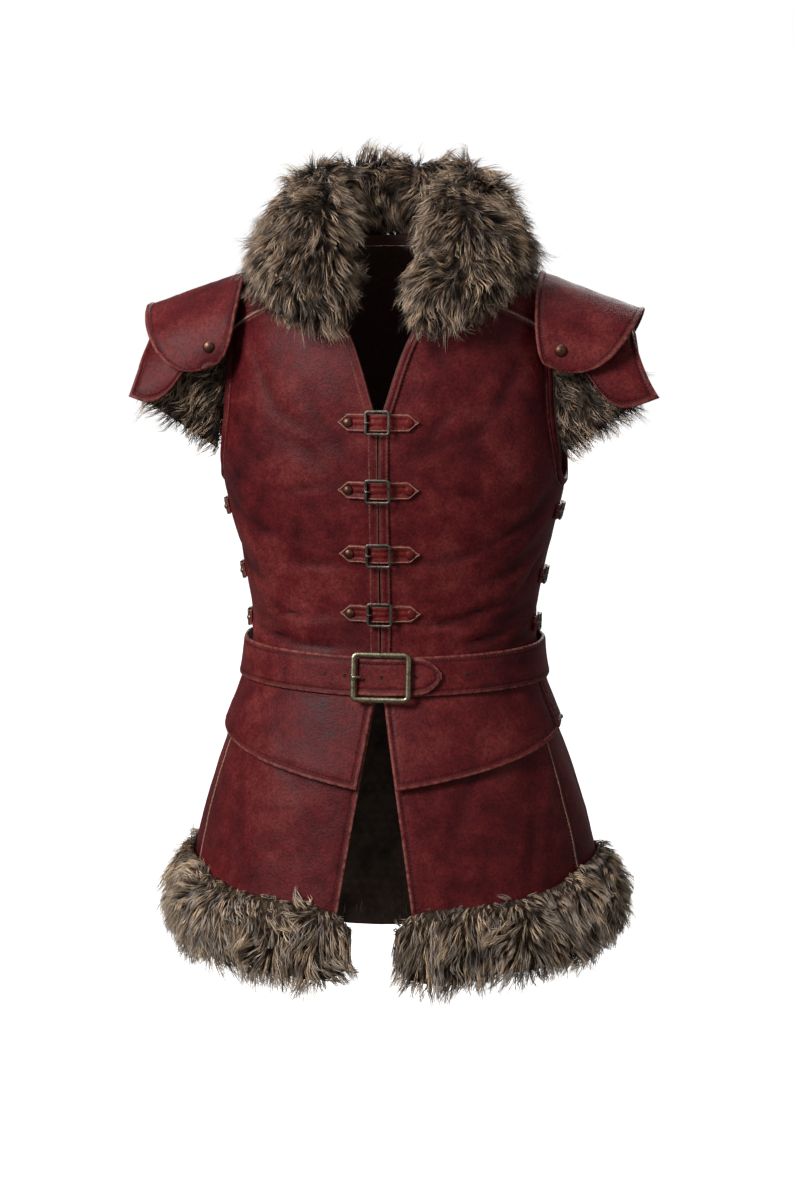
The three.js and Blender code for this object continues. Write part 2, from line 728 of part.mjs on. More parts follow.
function roundedRectangle(width, height, radius) {
  const x = width / 2;
  const y = height / 2;
  const outline = new THREE.Shape();
  outline.moveTo(-x + radius, -y);
  outline.lineTo(x - radius, -y);
  outline.absarc(x - radius, -y + radius, radius, -quarterTurn, 0);
  outline.lineTo(x, y - radius);
  outline.absarc(x - radius, y - radius, radius, 0, quarterTurn);
  outline.lineTo(-x + radius, y);
  outline.absarc(-x + radius, y - radius, radius, quarterTurn, Math.PI);
  outline.lineTo(-x, -y + radius);
  outline.absarc(-x + radius, -y + radius, radius, Math.PI, Math.PI + quarterTurn);
  return outline;
}

function buckleFrame(size) {
  const outline = roundedRectangle(size.width, size.height, size.gauge * 1.1);
  const inside = [size.width - 2 * size.gauge, size.height - 2 * size.gauge, size.gauge * 0.4];
  outline.holes.push(roundedRectangle(...inside));
  const cut = { depth: size.depth, bevelEnabled: false, curveSegments: size.corner };
  const ring = new THREE.ExtrudeGeometry(outline, cut);
  const tongue = new THREE.BoxGeometry(size.width - size.gauge, size.prong, size.prong);
  const proud = 0.4;
  tongue.translate(0, 0, size.depth - size.prong / 2 + proud);
  return joined([ring, tongue]);
}

// Stands a flat frame on the body, facing outwards, its back at a lift above the leather
function placeFrame(mesh, angle, height, lift) {
  const normal = formNormal(angle, height);
  const upward = new THREE.Vector3(0, 0, 1).addScaledVector(normal, -normal.z).normalize();
  const across = upward.clone().cross(normal);
  mesh.position.copy(bodyPoint(angle, height, lift));
  mesh.quaternion.setFromRotationMatrix(new THREE.Matrix4().makeBasis(across, upward, normal));
}

function frontFastening(number, height) {
  const tab = frontStrap(height, -strap.tip, -strap.tabEnd);
  const billet = frontStrap(height, strap.tip, -strap.billetEnd);
  const headAt = (x) => {
    const angle = angleAcross(x, height);
    const lift = strapLift(x) + strap.thickness;
    return [bodyPoint(angle, height, lift), formNormal(angle, height)];
  };
  const [rightBase, rightDirection] = headAt(-strap.rivetAt);
  const [leftBase, leftDirection] = headAt(strap.rivetAt);
  add(`front_tab_${number}`, tab, redStrap);
  rightBase.addScaledVector(rightDirection, strap.rivetGap);
  add(`front_rivet_${number}`, rivet(rivetRadius, rightBase, rightDirection), pewter);
  leftBase.addScaledVector(leftDirection, -strap.rivetSunk);
  add(`front_billet_${number}`, joined([billet, rivet(rivetRadius, leftBase, leftDirection)]), redStrap);
  const frame = add(`front_buckle_${number}`, buckleFrame(smallBuckle), pewter);
  placeFrame(frame, 0, height, strap.buckleLift);
}

// The belt's outline in section: up its height, and out through its thickness
const beltSection = [
  { up: -1, out: 0 },
  { up: 1, out: 0 },
  { up: 1, out: 0.7 },
  { up: 0.86, out: 1 },
  { up: -0.86, out: 1 },
  { up: -1, out: 0.7 },
];

function beltBody() {
  const stations = 52;
  const rings = even(stations).slice(0, stations).map((share) => {
    const angle = share * 2 * Math.PI;
    return beltSection.map(({ up, out }) => {
      const height = waistSeam(angle) + up * belt.height / 2;
      return bodyPoint(angle, height, belt.lift + out * belt.thickness);
    });
  });
  return loft(rings, true);
}

// The belt's far end lies over the belt and ends in a rounded point
function beltEnd() {
  const pointLength = 26;
  const narrower = 0.94;
  return wall(even(11), [0, 0.25, 0.5, 0.75, 1], (across, up, side) => {
    const x = mix(belt.tuck, belt.tip, across);
    const ending = clamp((belt.tip - x) / pointLength, 0.05, 1);
    const half = belt.height / 2 * narrower * Math.pow(ending, 0.55);
    const angle = angleAcross(x, waistSeam(0));
    const height = waistSeam(angle) + (up * 2 - 1) * half;
    return bodyPoint(angle, height, belt.lift + belt.thickness + 1 + side * belt.thickness);
  });
}

// Peplum flaps under the belt, standing out from the skirt at their lower edge
function peplumLift(angle, height) {
  const underBelt = 1.9;
  const flare = 0.055;
  const below = Math.max(waistSeam(angle) - belt.height / 2 - height, 0);
  return underBelt + below * flare;
}

function peplumBottom(angle) {
  const turn = Math.abs(wrap(angle));
  if (turn < quarterTurn) {
    return waistSeam(angle) - mix(peplum.frontDrop, peplum.sideDrop, turn / quarterTurn);
  }
  return waistSeam(angle) - mix(peplum.sideDrop, peplum.backDrop, Math.sin(turn - quarterTurn));
}

function peplumPoint(angle, along, up, side) {
  const height = mix(peplumBottom(angle), waistSeam(angle) + peplum.topRise, up);
  const rolled = up < 0.01 || along < 0.01 || along > 0.99 ? peplum.rolled : 0;
  return bodyPoint(angle, height, peplumLift(angle, height) + (side ? leather + rolled : 0));
}

function peplumFront(sign) {
  const sideEdge = degrees(80);
  const across = [0, 0.06, 0.2, 0.34, 0.48, 0.62, 0.76, 0.94, 1];
  const upShares = [0, 0.07, 0.3, 0.55, 0.78, 1];
  return wall(across, upShares, (along, up, side) => {
    const frontHeight = mix(waistSeam(0) - peplum.frontDrop, waistSeam(0) + peplum.topRise, up);
    const start = frontAngle(frontHeight, 1.2);
    return peplumPoint(sign * mix(start, sideEdge, along), along, up, side);
  });
}

function peplumBack() {
  const sideEdge = degrees(82);
  return wall(even(20), [0, 0.08, 0.35, 0.68, 1], (along, up, side) => {
    const angle = mix(sideEdge, 2 * Math.PI - sideEdge, along);
    return peplumPoint(angle, along, up, side);
  });
}

function skirtFront(sign) {
  return wall(even(8), even(8), (along, up, side) => {
    const slitHeight = mix(hem(0, 'leatherEdge'), waistSeam(0) - halfGap, up);
    const start = frontAngle(slitHeight, 0.4);
    const angle = mix(start, skirtSeam - seamAngle, along);
    const height = mix(hem(angle, 'leatherEdge'), waistSeam(angle) - halfGap, up);
    return bodyPoint(sign * angle, height, (side - 1) * leather);
  });
}

function skirtBack() {
  const start = skirtSeam + seamAngle;
  return wall(even(26), even(8), (along, up, side) => {
    const angle = mix(start, 2 * Math.PI - start, along);
    const height = mix(hem(angle, 'leatherEdge'), waistSeam(angle) - halfGap, up);
    return bodyPoint(angle, height, (side - 1) * leather);
  });
}

function skirtLining() {
  const start = degrees(78);
  const belowWaist = 12;
  const inset = leather + 3.2;
  const rumple = 0.8;
  return wall(even(20), even(7), (along, up, side) => {
    const angle = mix(start, 2 * Math.PI - start, along);
    const height = mix(hem(angle, 'lining'), waistSeam(angle) - belowWaist, up);
    const lift = -inset - rumple * Math.sin(along * 60) + (side - 1) * liningCloth;
    return bodyPoint(angle, height, lift);
  });
}

// Fur hem: a thick roll outside the leather, down past its edge
const furSection = [
  { up: 1, out: 0.12 },
  { up: 0.93, out: 0.5 },
  { up: 0.74, out: 0.84 },
  { up: 0.5, out: 1 },
  { up: 0.24, out: 0.98 },
  { up: 0.08, out: 0.72 },
  { up: 0, out: 0.3 },
  { up: 0.03, out: 0 },
  { up: 0.35, out: 0 },
  { up: 0.7, out: 0 },
  { up: 0.96, out: 0 },
];

function furRing(angle, size) {
  const thickness = 36;
  const offLeather = 1.8;
  const top = hem(angle, 'furTop');
  const bottom = hem(angle, 'furBottom');
  const middle = (top + bottom) / 2;
  return furSection.map(({ up, out }, index) => {
    const lock = out > 0 ? 1 + 0.05 * Math.sin(angle * 19 + index * 1.7) : 1;
    const height = middle + (mix(bottom, top, up) - middle) * size;
    return bodyPoint(angle, height, offLeather + out * thickness * size * lock);
  });
}

function furHem(from, to, stations, roundedStart) {
  const roundedStations = 2.5;
  const rings = even(stations).map((share) => {
    const start = roundedStart ? clamp(share * stations / roundedStations, 0.16, 1) : 1;
    return furRing(mix(from, to, share), Math.sqrt(start * (2 - start)));
  });
  return loft(rings, false);
}

// A strap across the side seam with a small buckle and a stud
function sideFastening(sign, height) {
  const tab = {
    reach: degrees(9), height: 17, thickness: 2.4, lift: 1.5, buckleTurn: 1, studTurn: 6.5, stud: 4,
  };
  const band = wall(even(3), [0, 1], (across, up, side) => {
    const angle = quarterTurn + mix(-tab.reach, tab.reach, across);
    return bodyPoint(sign * angle, height + (up - 0.5) * tab.height, tab.lift + side * tab.thickness);
  });
  const ring = buckleFrame(sideBuckle);
  const carrier = new THREE.Object3D();
  placeFrame(carrier, sign * (quarterTurn - degrees(tab.buckleTurn)), height, tab.lift * 2);
  carrier.updateMatrix();
  ring.applyMatrix4(carrier.matrix);
  const studAngle = sign * (quarterTurn - degrees(tab.studTurn));
  const stud = rivet(tab.stud, bodyPoint(studAngle, height, tab.lift * 2), formNormal(studAngle, height));
  return joined([band, ring, stud]);
}

for (const { name, sign } of sides) {
  add(`front_panel_${name}`, frontPanel(sign), oxblood);
  add(`back_panel_${name}`, backPanel(sign), oxblood);
  add(`yoke_${name}`, yoke(sign), oxblood);
  add(`fur_collar_${name}`, furCollar(sign), fur);
  add(`front_band_${name}`, frontBand(sign), oxblood);
  add(`armhole_band_${name}`, armholeBand(sign), oxblood);
  add(`fur_sleeve_${name}`, furSleeve(sign), fur);
  add(`cap_upper_${name}`, capUpper(sign), oxblood);
  add(`cap_lower_${name}`, capLower(sign), oxblood);
  const capRivetAt = archPoint(upperCap, capRivet.x, capRivet.arc, capRivet.lift);
  capRivetAt.x *= sign;
  add(`cap_rivet_${name}`, rivet(capRivet.radius, capRivetAt, new THREE.Vector3(0, -1, 0)), pewter);
  add(`peplum_${name}`, peplumFront(sign), oxblood);
  add(`skirt_${name}`, skirtFront(sign), oxblood);
  const slitAngle = frontAngle(hem(0, 'furTop'), -furPastEdge);
  add(`fur_hem_${name}`, furHem(sign * slitAngle, sign * (skirtSeam - furSeam), 13, true), fur);
  sideHeights.forEach((height, index) => {
    add(`side_fastening_${name}_${index + 1}`, sideFastening(sign, height), redStrap);
  });
}
add('collar_stand', collarStand(), oxblood);
add('peplum_back', peplumBack(), oxblood);
add('skirt_back', skirtBack(), oxblood);
add('skirt_lining', skirtLining(), darkCloth);
const backEnd = 2 * Math.PI - skirtSeam - furSeam;
add('fur_hem_back', furHem(skirtSeam + furSeam, backEnd, 24, false), fur);
strapHeights.forEach((height, index) => frontFastening(index + 1, height));
add('belt', beltBody(), oxblood);
add('belt_end', beltEnd(), oxblood);
const bigBuckle = add('belt_buckle', buckleFrame(beltBuckle), oldBrass);
const buckleLift = belt.lift + 2 * belt.thickness + 2.4;
placeFrame(bigBuckle, angleAcross(beltBuckle.across, waistSeam(0)), waistSeam(0), buckleLift);

export default vest;
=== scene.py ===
"""The looks of a leather tunic vest with a fur collar, layered shoulder caps and a belt.

Lengths in the tables and in the shape functions are millimetres. A mesh is turned to metres
when it is made. The front faces -Y and the wearer's left side is +X.
"""

import math
from collections import namedtuple
from functools import partial

import bpy
import numpy as np
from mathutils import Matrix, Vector


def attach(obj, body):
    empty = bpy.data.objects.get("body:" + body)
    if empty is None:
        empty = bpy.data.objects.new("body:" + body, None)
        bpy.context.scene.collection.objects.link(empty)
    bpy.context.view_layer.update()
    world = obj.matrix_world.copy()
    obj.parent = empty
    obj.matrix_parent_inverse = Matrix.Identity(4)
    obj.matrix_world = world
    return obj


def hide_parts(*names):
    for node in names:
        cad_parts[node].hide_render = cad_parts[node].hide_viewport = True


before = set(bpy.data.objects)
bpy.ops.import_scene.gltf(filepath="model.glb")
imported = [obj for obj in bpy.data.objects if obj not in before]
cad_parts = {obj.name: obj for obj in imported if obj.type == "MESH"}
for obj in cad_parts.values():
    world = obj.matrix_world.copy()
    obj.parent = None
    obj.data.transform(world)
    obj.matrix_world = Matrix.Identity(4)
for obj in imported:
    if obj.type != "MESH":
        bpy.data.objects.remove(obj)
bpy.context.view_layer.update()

bl_info = {
    "name": "Leather vest with fur collar",
    "version": (1, 0, 0),
    "blender": (4, 5, 0),
    "location": "View3D > Sidebar > Vest",
    "description": "Builds the leather, fur, metal and stitching of a belted tunic vest",
    "category": "Object",
}

FAR_FROM_EDGE = 999.0
MM = 0.001
QUARTER = math.pi / 2
SHARP_EDGE = math.radians(50)
SIDES = (("right", -1), ("left", 1))
ALL_EDGES = ("start", "end", "bottom", "top")

# Form of the vest, as the solids have it

Level = namedtuple("Level", "height half_width front back square")
BODY_LEVELS = (
    Level(-840, 259, 182, 178, 2.15),
    Level(-752, 250, 171, 168, 2.15),
    Level(-668, 234, 158, 156, 2.15),
    Level(-600, 215, 147, 145, 2.2),
    Level(-535, 193, 133, 131, 2.2),
    Level(-471, 173, 118, 113, 2.2),
    Level(-410, 168, 113, 107, 2.2),
    Level(-343, 178, 119, 112, 2.25),
    Level(-279, 194, 127, 119, 2.3),
    Level(-222, 205, 131, 125, 2.3),
    Level(-150, 203, 129, 126, 2.25),
    Level(-90, 200, 121, 122, 2.15),
    Level(-45, 196, 107, 111, 2.05),
    Level(-17, 186, 88, 96, 2),
    Level(4, 128, 75, 84, 2),
    Level(22, 82, 60, 68, 2),
)

Edge = namedtuple("Edge", "height half_width")
FRONT_EDGES = (
    Edge(-840, 58), Edge(-780, 50), Edge(-700, 38), Edge(-600, 22), Edge(-520, 9),
    Edge(-464, 1.2), Edge(-400, 0.6), Edge(-180, 0.6), Edge(-160, 4), Edge(-140, 10),
    Edge(-110, 19), Edge(-80, 30), Edge(-55, 43), Edge(-30, 58), Edge(-15, 66),
    Edge(8, 77), Edge(22, 82),
)

# Folds: angle from the centre front in degrees, height, run, slope in degrees, width, depth
Fold = namedtuple("Fold", "angle height run slope width depth")
FOLDS = (
    Fold(-62, -352, 95, -28, 17, -3.4),
    Fold(-48, -378, 85, -20, 15, 3.0),
    Fold(-55, -405, 80, -12, 13, -3.0),
    Fold(-30, -412, 70, 6, 12, 2.2),
    Fold(58, -340, 90, 30, 17, -3.2),
    Fold(46, -366, 90, 24, 15, 2.8),
    Fold(60, -398, 75, 14, 13, -3.0),
    Fold(28, -414, 70, -4, 12, 2.2),
    Fold(-24, -196, 70, -42, 15, -2.4),
    Fold(24, -204, 60, 40, 15, -2.0),
    Fold(-66, -268, 60, -50, 16, -2.6),
    Fold(67, -262, 60, 48, 16, -2.6),
    Fold(-128, -356, 95, 24, 17, -3.2),
    Fold(-140, -392, 85, 14, 14, 2.8),
    Fold(126, -348, 90, -26, 17, -3.2),
    Fold(142, -400, 85, -12, 14, 2.8),
    Fold(168, -380, 70, 4, 14, -2.6),
)

# Finer creases, which only the leather shells have
CREASES = (
    Fold(-13, -182, 60, -56, 7, -1.5),
    Fold(-19, -186, 74, -34, 8, -1.4),
    Fold(-26, -182, 66, -20, 7, 1.0),
    Fold(14, -180, 54, 52, 7, -1.3),
    Fold(21, -190, 70, 28, 8, -1.2),
    Fold(-24, -246, 60, 10, 6, -1.0),
    Fold(25, -250, 56, -12, 6, -1.0),
    Fold(-26, -318, 66, -8, 7, 1.1),
    Fold(-22, -334, 54, -4, 6, -1.2),
    Fold(24, -326, 62, 10, 7, -1.1),
    Fold(-44, -300, 74, -24, 8, -1.4),
    Fold(-56, -322, 60, -34, 7, 1.2),
    Fold(50, -296, 72, 26, 8, -1.4),
    Fold(60, -312, 60, 34, 7, 1.2),
    Fold(-38, -396, 78, -10, 6, -1.7),
    Fold(-22, -404, 64, 2, 6, 1.3),
    Fold(-46, -424, 86, -8, 6, -1.9),
    Fold(-24, -432, 70, 4, 6, -1.6),
    Fold(-64, -430, 60, -10, 6, 1.6),
    Fold(36, -392, 78, 12, 6, -1.7),
    Fold(22, -402, 60, 0, 6, -1.2),
    Fold(46, -420, 84, 10, 6, -1.9),
    Fold(26, -434, 66, -4, 6, 1.5),
    Fold(66, -428, 58, 12, 6, -1.6),
    Fold(-70, -352, 54, -44, 7, -1.5),
    Fold(72, -346, 52, 42, 7, -1.5),
    Fold(-40, -128, 60, -58, 9, -1.3),
    Fold(42, -134, 58, 56, 9, -1.3),
    Fold(-50, -232, 54, -36, 8, 1.0),
    Fold(52, -228, 52, 40, 8, 1.0),
    Fold(-112, -330, 70, 34, 8, -1.5),
    Fold(-122, -410, 84, 14, 6, -1.8),
    Fold(-146, -424, 78, 6, 6, 1.6),
    Fold(-160, -398, 60, -6, 6, -1.5),
    Fold(114, -326, 70, -36, 8, -1.5),
    Fold(124, -414, 82, -12, 6, -1.8),
    Fold(150, -426, 76, -6, 6, -1.6),
    Fold(176, -416, 64, 8, 6, 1.4),
    Fold(-150, -226, 80, 48, 10, -1.4),
    Fold(152, -232, 78, -46, 10, -1.4),
    Fold(-172, -150, 70, 70, 10, -1.1),
    Fold(-30, -560, 90, -64, 10, -1.6),
    Fold(-46, -640, 96, -74, 11, -1.8),
    Fold(26, -600, 92, 70, 10, -1.6),
    Fold(48, -664, 96, 76, 11, -1.8),
    Fold(-58, -700, 80, 80, 10, 1.5),
    Fold(60, -612, 84, 66, 10, 1.5),
    Fold(-94, -640, 96, 82, 11, -1.8),
    Fold(96, -650, 96, -80, 11, -1.8),
    Fold(-124, -690, 96, -84, 12, -1.9),
    Fold(122, -676, 96, 82, 12, -1.9),
    Fold(-152, -650, 90, 80, 11, 1.7),
    Fold(150, -660, 92, -82, 11, 1.7),
    Fold(178, -640, 96, 86, 12, -1.8),
)

Flute = namedtuple("Flute", "angle width depth")
FLUTES = (
    Flute(-104, 15, 6), Flute(-68, 12, -4), Flute(-36, 14, 4), Flute(38, 14, 4.5),
    Flute(70, 12, -4), Flute(106, 15, 6), Flute(138, 16, -6), Flute(162, 13, 5),
    Flute(-140, 16, -6), Flute(-160, 13, 5),
)

PanelLevel = namedtuple("PanelLevel", "row front side back")
YOKE_SEAM = -72
PANEL_LEVELS = (
    PanelLevel(0, -464, -455, -446),
    PanelLevel(0.14, -418, -412, -404),
    PanelLevel(0.3, -362, -358, -352),
    PanelLevel(0.46, -304, -304, -300),
    PanelLevel(0.61, -240, -252, -244),
    PanelLevel(0.69, -205, -234, -218),
    PanelLevel(0.77, -168, -205, -185),
    PanelLevel(0.86, -118, -160, -146),
    PanelLevel(0.93, -68, -118, -112),
    PanelLevel(1, -15, YOKE_SEAM, YOKE_SEAM),
)

Hem = namedtuple("Hem", "angle leather_edge fur_top fur_bottom lining")
HEM_HEIGHTS = (
    Hem(0, -780, -716, -815, -826),
    Hem(45, -771, -700, -811, -806),
    Hem(75, -757, -678, -797, -752),
    Hem(95, -753, -672, -790, -752),
    Hem(125, -764, -682, -800, -792),
    Hem(150, -780, -697, -813, -821),
    Hem(180, -784, -702, -816, -826),
)

CollarStation = namedtuple("CollarStation", "share x y z across rise facing pitch lean")
COLLAR_STATIONS = (
    CollarStation(0, 66, -132, -50, 26, 14, 80, 70, 0),
    CollarStation(0.05, 70, -128, -44, 44, 28, 80, 66, 4),
    CollarStation(0.15, 80, -114, -24, 58, 42, 82, 56, 10),
    CollarStation(0.3, 92, -88, 8, 62, 60, 85, 38, 22),
    CollarStation(0.45, 98, -52, 34, 62, 77, 88, 18, 30),
    CollarStation(0.6, 107, -5, 50, 50, 79, 97, 0, 30),
    CollarStation(0.75, 87, 57, 60, 45, 71, 130, 0, 16),
    CollarStation(0.88, 50, 86, 72, 42, 60, 158, 0, 4),
    CollarStation(1, 0, 99, 78, 40, 54, 180, 0, 2),
)

CapPlate = namedtuple("CapPlate", "radius ridge_start ridge_height slope inner outer")
UPPER_CAP = CapPlate(92, 172, -3.5, 0.36, 171, 291)
LOWER_CAP = CapPlate(84, 195, -22, 0.575, 197, 278)
CAP_MIDDLE = {-1: 205, 1: 193}
CAP_REACH = 150
CAP_FLARE = 22
CapCorners = namedtuple("CapCorners", "front back")
CAP_CORNERS = {-1: CapCorners(22, 22), 1: CapCorners(37, 8)}
CapReach = namedtuple("CapReach", "x reach")
LOWER_CAP_REACH = (
    CapReach(190, 96), CapReach(215, 106), CapReach(233, 120), CapReach(254, 135),
    CapReach(274, 134), CapReach(294, 118), CapReach(316, 96),
)

WAIST, WAIST_RISE = -464, 9
PEPLUM_FRONT, PEPLUM_SIDE, PEPLUM_BACK, UNDER_BELT = 131, 76, 104, 9
ARMHOLE_HEIGHT = -134.5
ARMHOLE_HALF_HEIGHT = 117.5
ARMHOLE_HALF_ANGLE = math.radians(25)
ARMHOLE_SQUARE = 2.5
NECK_HEIGHT = 22
YOKE_CORNER = 0.6
SEAM_ANGLE = math.radians(0.05)
HALF_GAP = 0.15
SKIRT_SEAM = math.radians(70)
FUR_PAST_EDGE = 20
CORNER_DROP = 13
SEAM_STITCH, LIP_STITCH, BELT_STITCH = 3.5, 6.7, 5.1
TURNED_RADIUS = 1.2
BELT_HEIGHT, BELT_THICKNESS, BELT_LIFT = 46, 3.4, 6.7
BELT_TIP, BELT_TUCK = 69, -22
STRAP_HEIGHTS = (-169, -246, -320, -390)
STRAP_TIP = 46
SIDE_HEIGHTS = (-280, -356, -413)
RIVET_RADIUS, RIVET_AT = 6, 35
CapRivet = namedtuple("CapRivet", "radius x arc lift")
CAP_RIVET = CapRivet(7, 203, 126, 1.6)
BELT_HOLES = (-129, -110, -62, -39, 3, 41, 96, 124)
# A shallow dark cup on the belt, whose colour paints the shade inside a punched hole
HOLE_PROFILE = ((2.2, 0), (2.0, 0.35), (1.6, 0.35), (1.2, 0.2), (0.3, 0.16))

# Metres, except watts
Light = namedtuple("Light", "name x y z wide high watts")
STUDIO_LIGHTS = (
    Light("Key", -2.1, -2.9, 1.7, 1.3, 1.6, 142),
    Light("Fill", 2.8, -2.6, 0.6, 2.4, 2.4, 7),
    Light("Top", -0.2, 0.2, 2.6, 1.6, 1.6, 22),
    Light("Back", 0.4, 3.2, 1.2, 2.4, 2.0, 50),
)

# What each wall was cut to: millimetres, and square metres where the cut isn't a rectangle
Cut = namedtuple("Cut", "wide long area held rests_on")


# Numbers


def signed_power(value, power):
    return np.sign(value) * np.abs(value) ** power


def mix(start, end, share):
    return start + (end - start) * share


def bump(distance, width):
    return np.exp(-0.5 * (distance / width) ** 2)


def smooth_step(share):
    share = np.clip(share, 0, 1)
    return share * share * (3 - 2 * share)


def wrapped(angle):
    return np.arctan2(np.sin(angle), np.cos(angle))


def full_turn(count):
    return np.linspace(0, 2 * math.pi, count, endpoint=False)


def rows_of(count):
    return np.linspace(0, 1, count)[:, None]


def columns_of(count):
    return np.linspace(0, 1, count)[None, :]


def unit(vectors):
    length = np.linalg.norm(vectors, axis=-1, keepdims=True)
    return vectors / np.maximum(length, 1e-9)


def read(table, column, at, key="height"):
    """A smooth curve through one column of a table, read at values of its key column."""
    keys = np.array([getattr(row, key) for row in table], float)
    values = np.array([getattr(row, column) for row in table], float)
    slopes = np.empty_like(values)
    slopes[1:-1] = (values[2:] - values[:-2]) / (keys[2:] - keys[:-2])
    slopes[0] = (values[1] - values[0]) / (keys[1] - keys[0])
    slopes[-1] = (values[-1] - values[-2]) / (keys[-1] - keys[-2])
    at = np.clip(np.asarray(at, float), keys[0], keys[-1])
    low = np.clip(np.searchsorted(keys, at, side="right") - 1, 0, len(keys) - 2)
    span = keys[low + 1] - keys[low]
    share = (at - keys[low]) / span
    squared, cubed = share**2, share**3
    return (
        (2 * cubed - 3 * squared + 1) * values[low]
        + (cubed - 2 * squared + share) * span * slopes[low]
        + (3 * squared - 2 * cubed) * values[low + 1]
        + (cubed - squared) * span * slopes[low + 1]
    )


def rolling(points, scale, seed, waves=14):
    """Soft uneven relief from -1 to 1 or so: a sum of waves about `scale` long, turned at random."""
    chance = np.random.default_rng(seed)
    turns = unit(chance.normal(size=(waves, 3)))
    lengths = scale * chance.uniform(0.7, 1.7, size=(waves, 1))
    offsets = chance.uniform(0, 2 * math.pi, size=waves)
    phases = points @ (turns / lengths * 2 * math.pi).T + offsets
    return np.sin(phases).sum(axis=-1) / math.sqrt(waves)


def packed_shares(count, length, ends=(True, True)):
    """Shares from 0 to 1, evenly spread, with closer ones inside each rolled end."""
    close = np.array([0, 0.5, 1.4, 2.6, 3.8, 4.8, 5.6, 6.5, 7.5, 9]) / length
    start = close if ends[0] else np.array([0])
    end = (1 - close)[::-1] if ends[1] else np.array([1])
    middle = np.linspace(start[-1], end[0], count + 1)[1:-1]
    return np.concatenate([start, middle, end])


# The form


def fold_relief(angle, height, folds):
    girth = 165
    relief = np.zeros(np.broadcast(angle, height).shape)
    for fold in folds:
        across = wrapped(angle - math.radians(fold.angle)) * girth
        up = height - fold.height
        turn = math.radians(fold.slope)
        along = across * math.cos(turn) + up * math.sin(turn)
        away = up * math.cos(turn) - across * math.sin(turn)
        relief += fold.depth * bump(along, fold.run / 2) * bump(away, fold.width / 2)
    return relief


def flute_relief(angle, height):
    share = np.clip((-520 - height) / 260, 0, 1.2)
    relief = np.zeros(np.broadcast(angle, height).shape)
    for flute in FLUTES:
        away = wrapped(angle - math.radians(flute.angle))
        relief += flute.depth * bump(away, math.radians(flute.width) / 2)
    return relief * share


def form_point(angle, height):
    angle, height = np.broadcast_arrays(np.asarray(angle, float), np.asarray(height, float))
    front = read(BODY_LEVELS, "front", height)
    back = read(BODY_LEVELS, "back", height)
    depth = np.where(np.cos(angle) > 0, front, back)
    power = 2 / read(BODY_LEVELS, "square", height)
    relief = fold_relief(angle, height, FOLDS) + flute_relief(angle, height)
    half_width = read(BODY_LEVELS, "half_width", height)
    x = (half_width + relief) * signed_power(np.sin(angle), power)
    y = -(depth + relief) * signed_power(np.cos(angle), power)
    return np.stack([x, y, height], axis=-1)


def form_normal(angle, height):
    step, rise = 0.02, 1.5
    across = form_point(angle + step, height) - form_point(angle - step, height)
    up = form_point(angle, height + rise) - form_point(angle, height - rise)
    return unit(np.cross(across, up))


def body_point(angle, height, lift):
    lift = np.asarray(lift, float)[..., None]
    return form_point(angle, height) + form_normal(angle, height) * lift


def angle_across(x, height):
    half_width = read(BODY_LEVELS, "half_width", height)
    square = read(BODY_LEVELS, "square", height)
    return np.arcsin(np.clip(signed_power(x / half_width, square / 2), -1, 1))


def front_angle(height, extra):
    return angle_across(read(FRONT_EDGES, "half_width", height) + extra, height)


def armhole_spread(height):
    share = np.clip(np.abs((height - ARMHOLE_HEIGHT) / ARMHOLE_HALF_HEIGHT), 0, 1)
    return ARMHOLE_HALF_ANGLE * (1 - share**ARMHOLE_SQUARE) ** (1 / ARMHOLE_SQUARE)


def armhole_edge(turn):
    """The armhole's edge by its turn: 0 at the shoulder, a quarter turn at the front."""
    power = 2 / ARMHOLE_SQUARE
    angle = QUARTER - ARMHOLE_HALF_ANGLE * signed_power(np.sin(turn), power)
    height = ARMHOLE_HEIGHT + ARMHOLE_HALF_HEIGHT * signed_power(np.cos(turn), power)
    return angle, height


def waist_seam(angle):
    return WAIST + WAIST_RISE * np.abs(wrapped(angle)) / QUARTER


def hem(angle, column):
    return read(HEM_HEIGHTS, column, np.degrees(np.abs(wrapped(angle))), key="angle")


def arch_point(cap, x, arc, lift):
    """A point on a shoulder cap: out along the ridge, and round the arch to front or back."""
    ridge = cap.ridge_height - (x - cap.ridge_start) * cap.slope
    turn = np.clip(arc / cap.radius, -QUARTER, QUARTER)
    below = np.maximum(np.abs(arc) - cap.radius * QUARTER, 0)
    radius = cap.radius + lift
    y = -radius * np.sin(turn)
    z = ridge - cap.radius + radius * np.cos(turn) - below
    return np.stack(np.broadcast_arrays(x, y, z), axis=-1)


def mirrored(points, sign):
    return points * np.array([sign, 1, 1])


# Meshes


def placed_object(name, data, materials=()):
    for material in materials:
        data.materials.append(material)
    piece = bpy.data.objects.new(name, data)
    bpy.context.scene.collection.objects.link(piece)
    return piece


def finish_piece(piece, slot, *nodes):
    """Fixes a finished piece to the vest's one body, in place of the solids it stands for."""
    if not len(piece.data.polygons):
        raise RuntimeError(f"{piece.name} has no faces")
    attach(piece, "root")
    if nodes:
        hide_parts(*nodes)
    return piece


def mesh_of(name, points, faces=(), edges=(), values=None):
    """A mesh in metres from points in millimetres, with named values for each point."""
    mesh = bpy.data.meshes.new(name)
    mesh.from_pydata((np.asarray(points) * MM).tolist(), edges, faces)
    for label, column in (values or {}).items():
        column = np.asarray(column, np.float32)
        kind, field = ("FLOAT_VECTOR", "vector") if column.ndim == 2 else ("FLOAT", "value")
        mesh.attributes.new(label, kind, "POINT").data.foreach_set(field, column.ravel())
    return mesh


